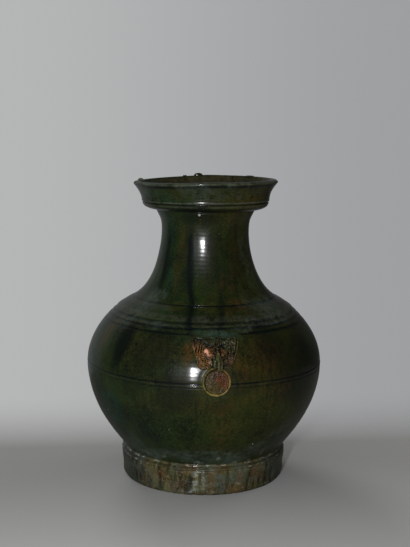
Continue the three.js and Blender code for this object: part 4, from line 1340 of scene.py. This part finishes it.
# The floor is a sheet of paper in metres. The camera sees it fade into the wall behind the jar and far
# round it, and the glaze reflects it darker.
def addFloor():
    steps = paper["steps"]
    sides = np.linspace(-paper["wide"], paper["wide"], steps)
    x, y = np.meshgrid(sides, np.linspace(paper["near"], paper["far"], steps))
    mesh = bpy.data.meshes.new("floor")
    points = np.stack([x, y, 0 * x], axis=-1)
    mesh.from_pydata(points.reshape(-1, 3).tolist(), [], openGrid(steps, steps)[1].tolist())
    floor = placed("floor", mesh)
    material = bpy.data.materials.new("floorPaper")
    g = Graph(material)
    place = g.wire("TexCoord", output="Object")
    y = g.axis(place, "Y")
    rest = g.clamp((0.35 - y) * 3.85)
    away = g.wire("VectorMath", {"operation": "LENGTH"}, {0: place}, "Value")
    gone = g.math("MAXIMUM", 1 - rest * rest, g.ease(1.6, 5.6, away))
    tone = g.mix(g.ease(-0.36, 0.06, y), paper["pale"], paper["grey"])
    tone = g.mix(g.ray("Glossy"), tone, paper["mirrored"])
    matt, clear = g.wire("BsdfDiffuse", {}, {"Color": tone}), g.wire("BsdfTransparent")
    shader = g.mixShader(gone * g.ray("Camera"), matt, clear)
    g.node("OutputMaterial", {}, {"Surface": shader})
    mesh.materials.append(material)
    floor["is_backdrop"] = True


addFloor()

studio = {
    "ambientLeft": 0.4, "ambientRight": 0.12, "roomFront": 0.014, "roomBack": 0.155, "roomBackRight": 0.013,
    "wallLeft": swatch(181, 182, 182), "wallRight": swatch(158, 159, 161),
}


# The world: a pale wall for the camera, a dim room with a lighter back for reflections, and soft light
# from the left for everything else.
def addWorld():
    world = bpy.data.worlds.new("studio")
    bpy.context.scene.world = world
    g = Graph(world)
    direction = g.wire("TexCoord", output="Generated")
    x, y = g.axis(direction, "X"), g.axis(direction, "Y")
    wall = g.mix(g.ease(-0.12, 0.3, x), studio["wallLeft"], studio["wallRight"])
    backFall = studio["roomBackRight"] - studio["roomBack"]
    sideFall = studio["ambientLeft"] - studio["ambientRight"]
    behind = studio["roomBack"] + backFall * g.ease(0.0, 0.6, x)
    room = studio["roomFront"] + behind * g.ease(0.4, 0.62, y)
    soft = studio["ambientRight"] + sideFall * g.ease(0.5, -0.5, x)
    seen, reflected, lit = (
        g.wire("Background", {}, {"Color": colour, "Strength": strength})
        for colour, strength in ((wall, 1.0), ((0.95, 0.98, 1.0, 1), room), ((1, 0.99, 0.97, 1), soft))
    )
    mirrored = g.math("MAXIMUM", g.ray("Glossy"), g.ray("Transmission"))
    shader = g.mixShader(g.ray("Camera"), g.mixShader(mirrored, lit, reflected), seen)
    g.node("OutputWorld", {}, {"Surface": shader})


addWorld()


def addLamp(name, place, aimAt, size, power, colour=(1, 1, 1)):
    lamp = placed(name, bpy.data.lights.new(name, "AREA"))
    lamp.data.shape = "ELLIPSE"
    lamp.data.size, lamp.data.size_y = size
    lamp.data.energy, lamp.data.color = power, colour
    lamp.location = Vector(place)
    lamp.rotation_mode = "QUATERNION"
    lamp.rotation_quaternion = (Vector(aimAt) - Vector(place)).to_track_quat("-Z", "Y")
    return lamp


addLamp("keyLamp", (-0.267, -1.169, 0.40), (0, 0, 0.19), (0.065, 0.16), 9.1, (0.96, 0.96, 1.0))
fillLamp = addLamp("fillLamp", (-0.5, 1.5, 1.1), (0, 0, 0.2), (0.8, 0.8), 12.0)
sideLamp = addLamp("sideLamp", (1.3, 0.9, 0.8), (0, 0, 0.2), (0.8, 0.8), 5.0)
for lamp in (fillLamp, sideLamp):  # they light the far side, and would show as white spots on the shoulder
    lamp.visible_glossy = False
bpy.context.scene.view_settings.view_transform = "Standard"
print("camera, floor and light ready")

low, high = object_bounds()
print("size", [round(v / mm, 1) for v in (*low, *high)])
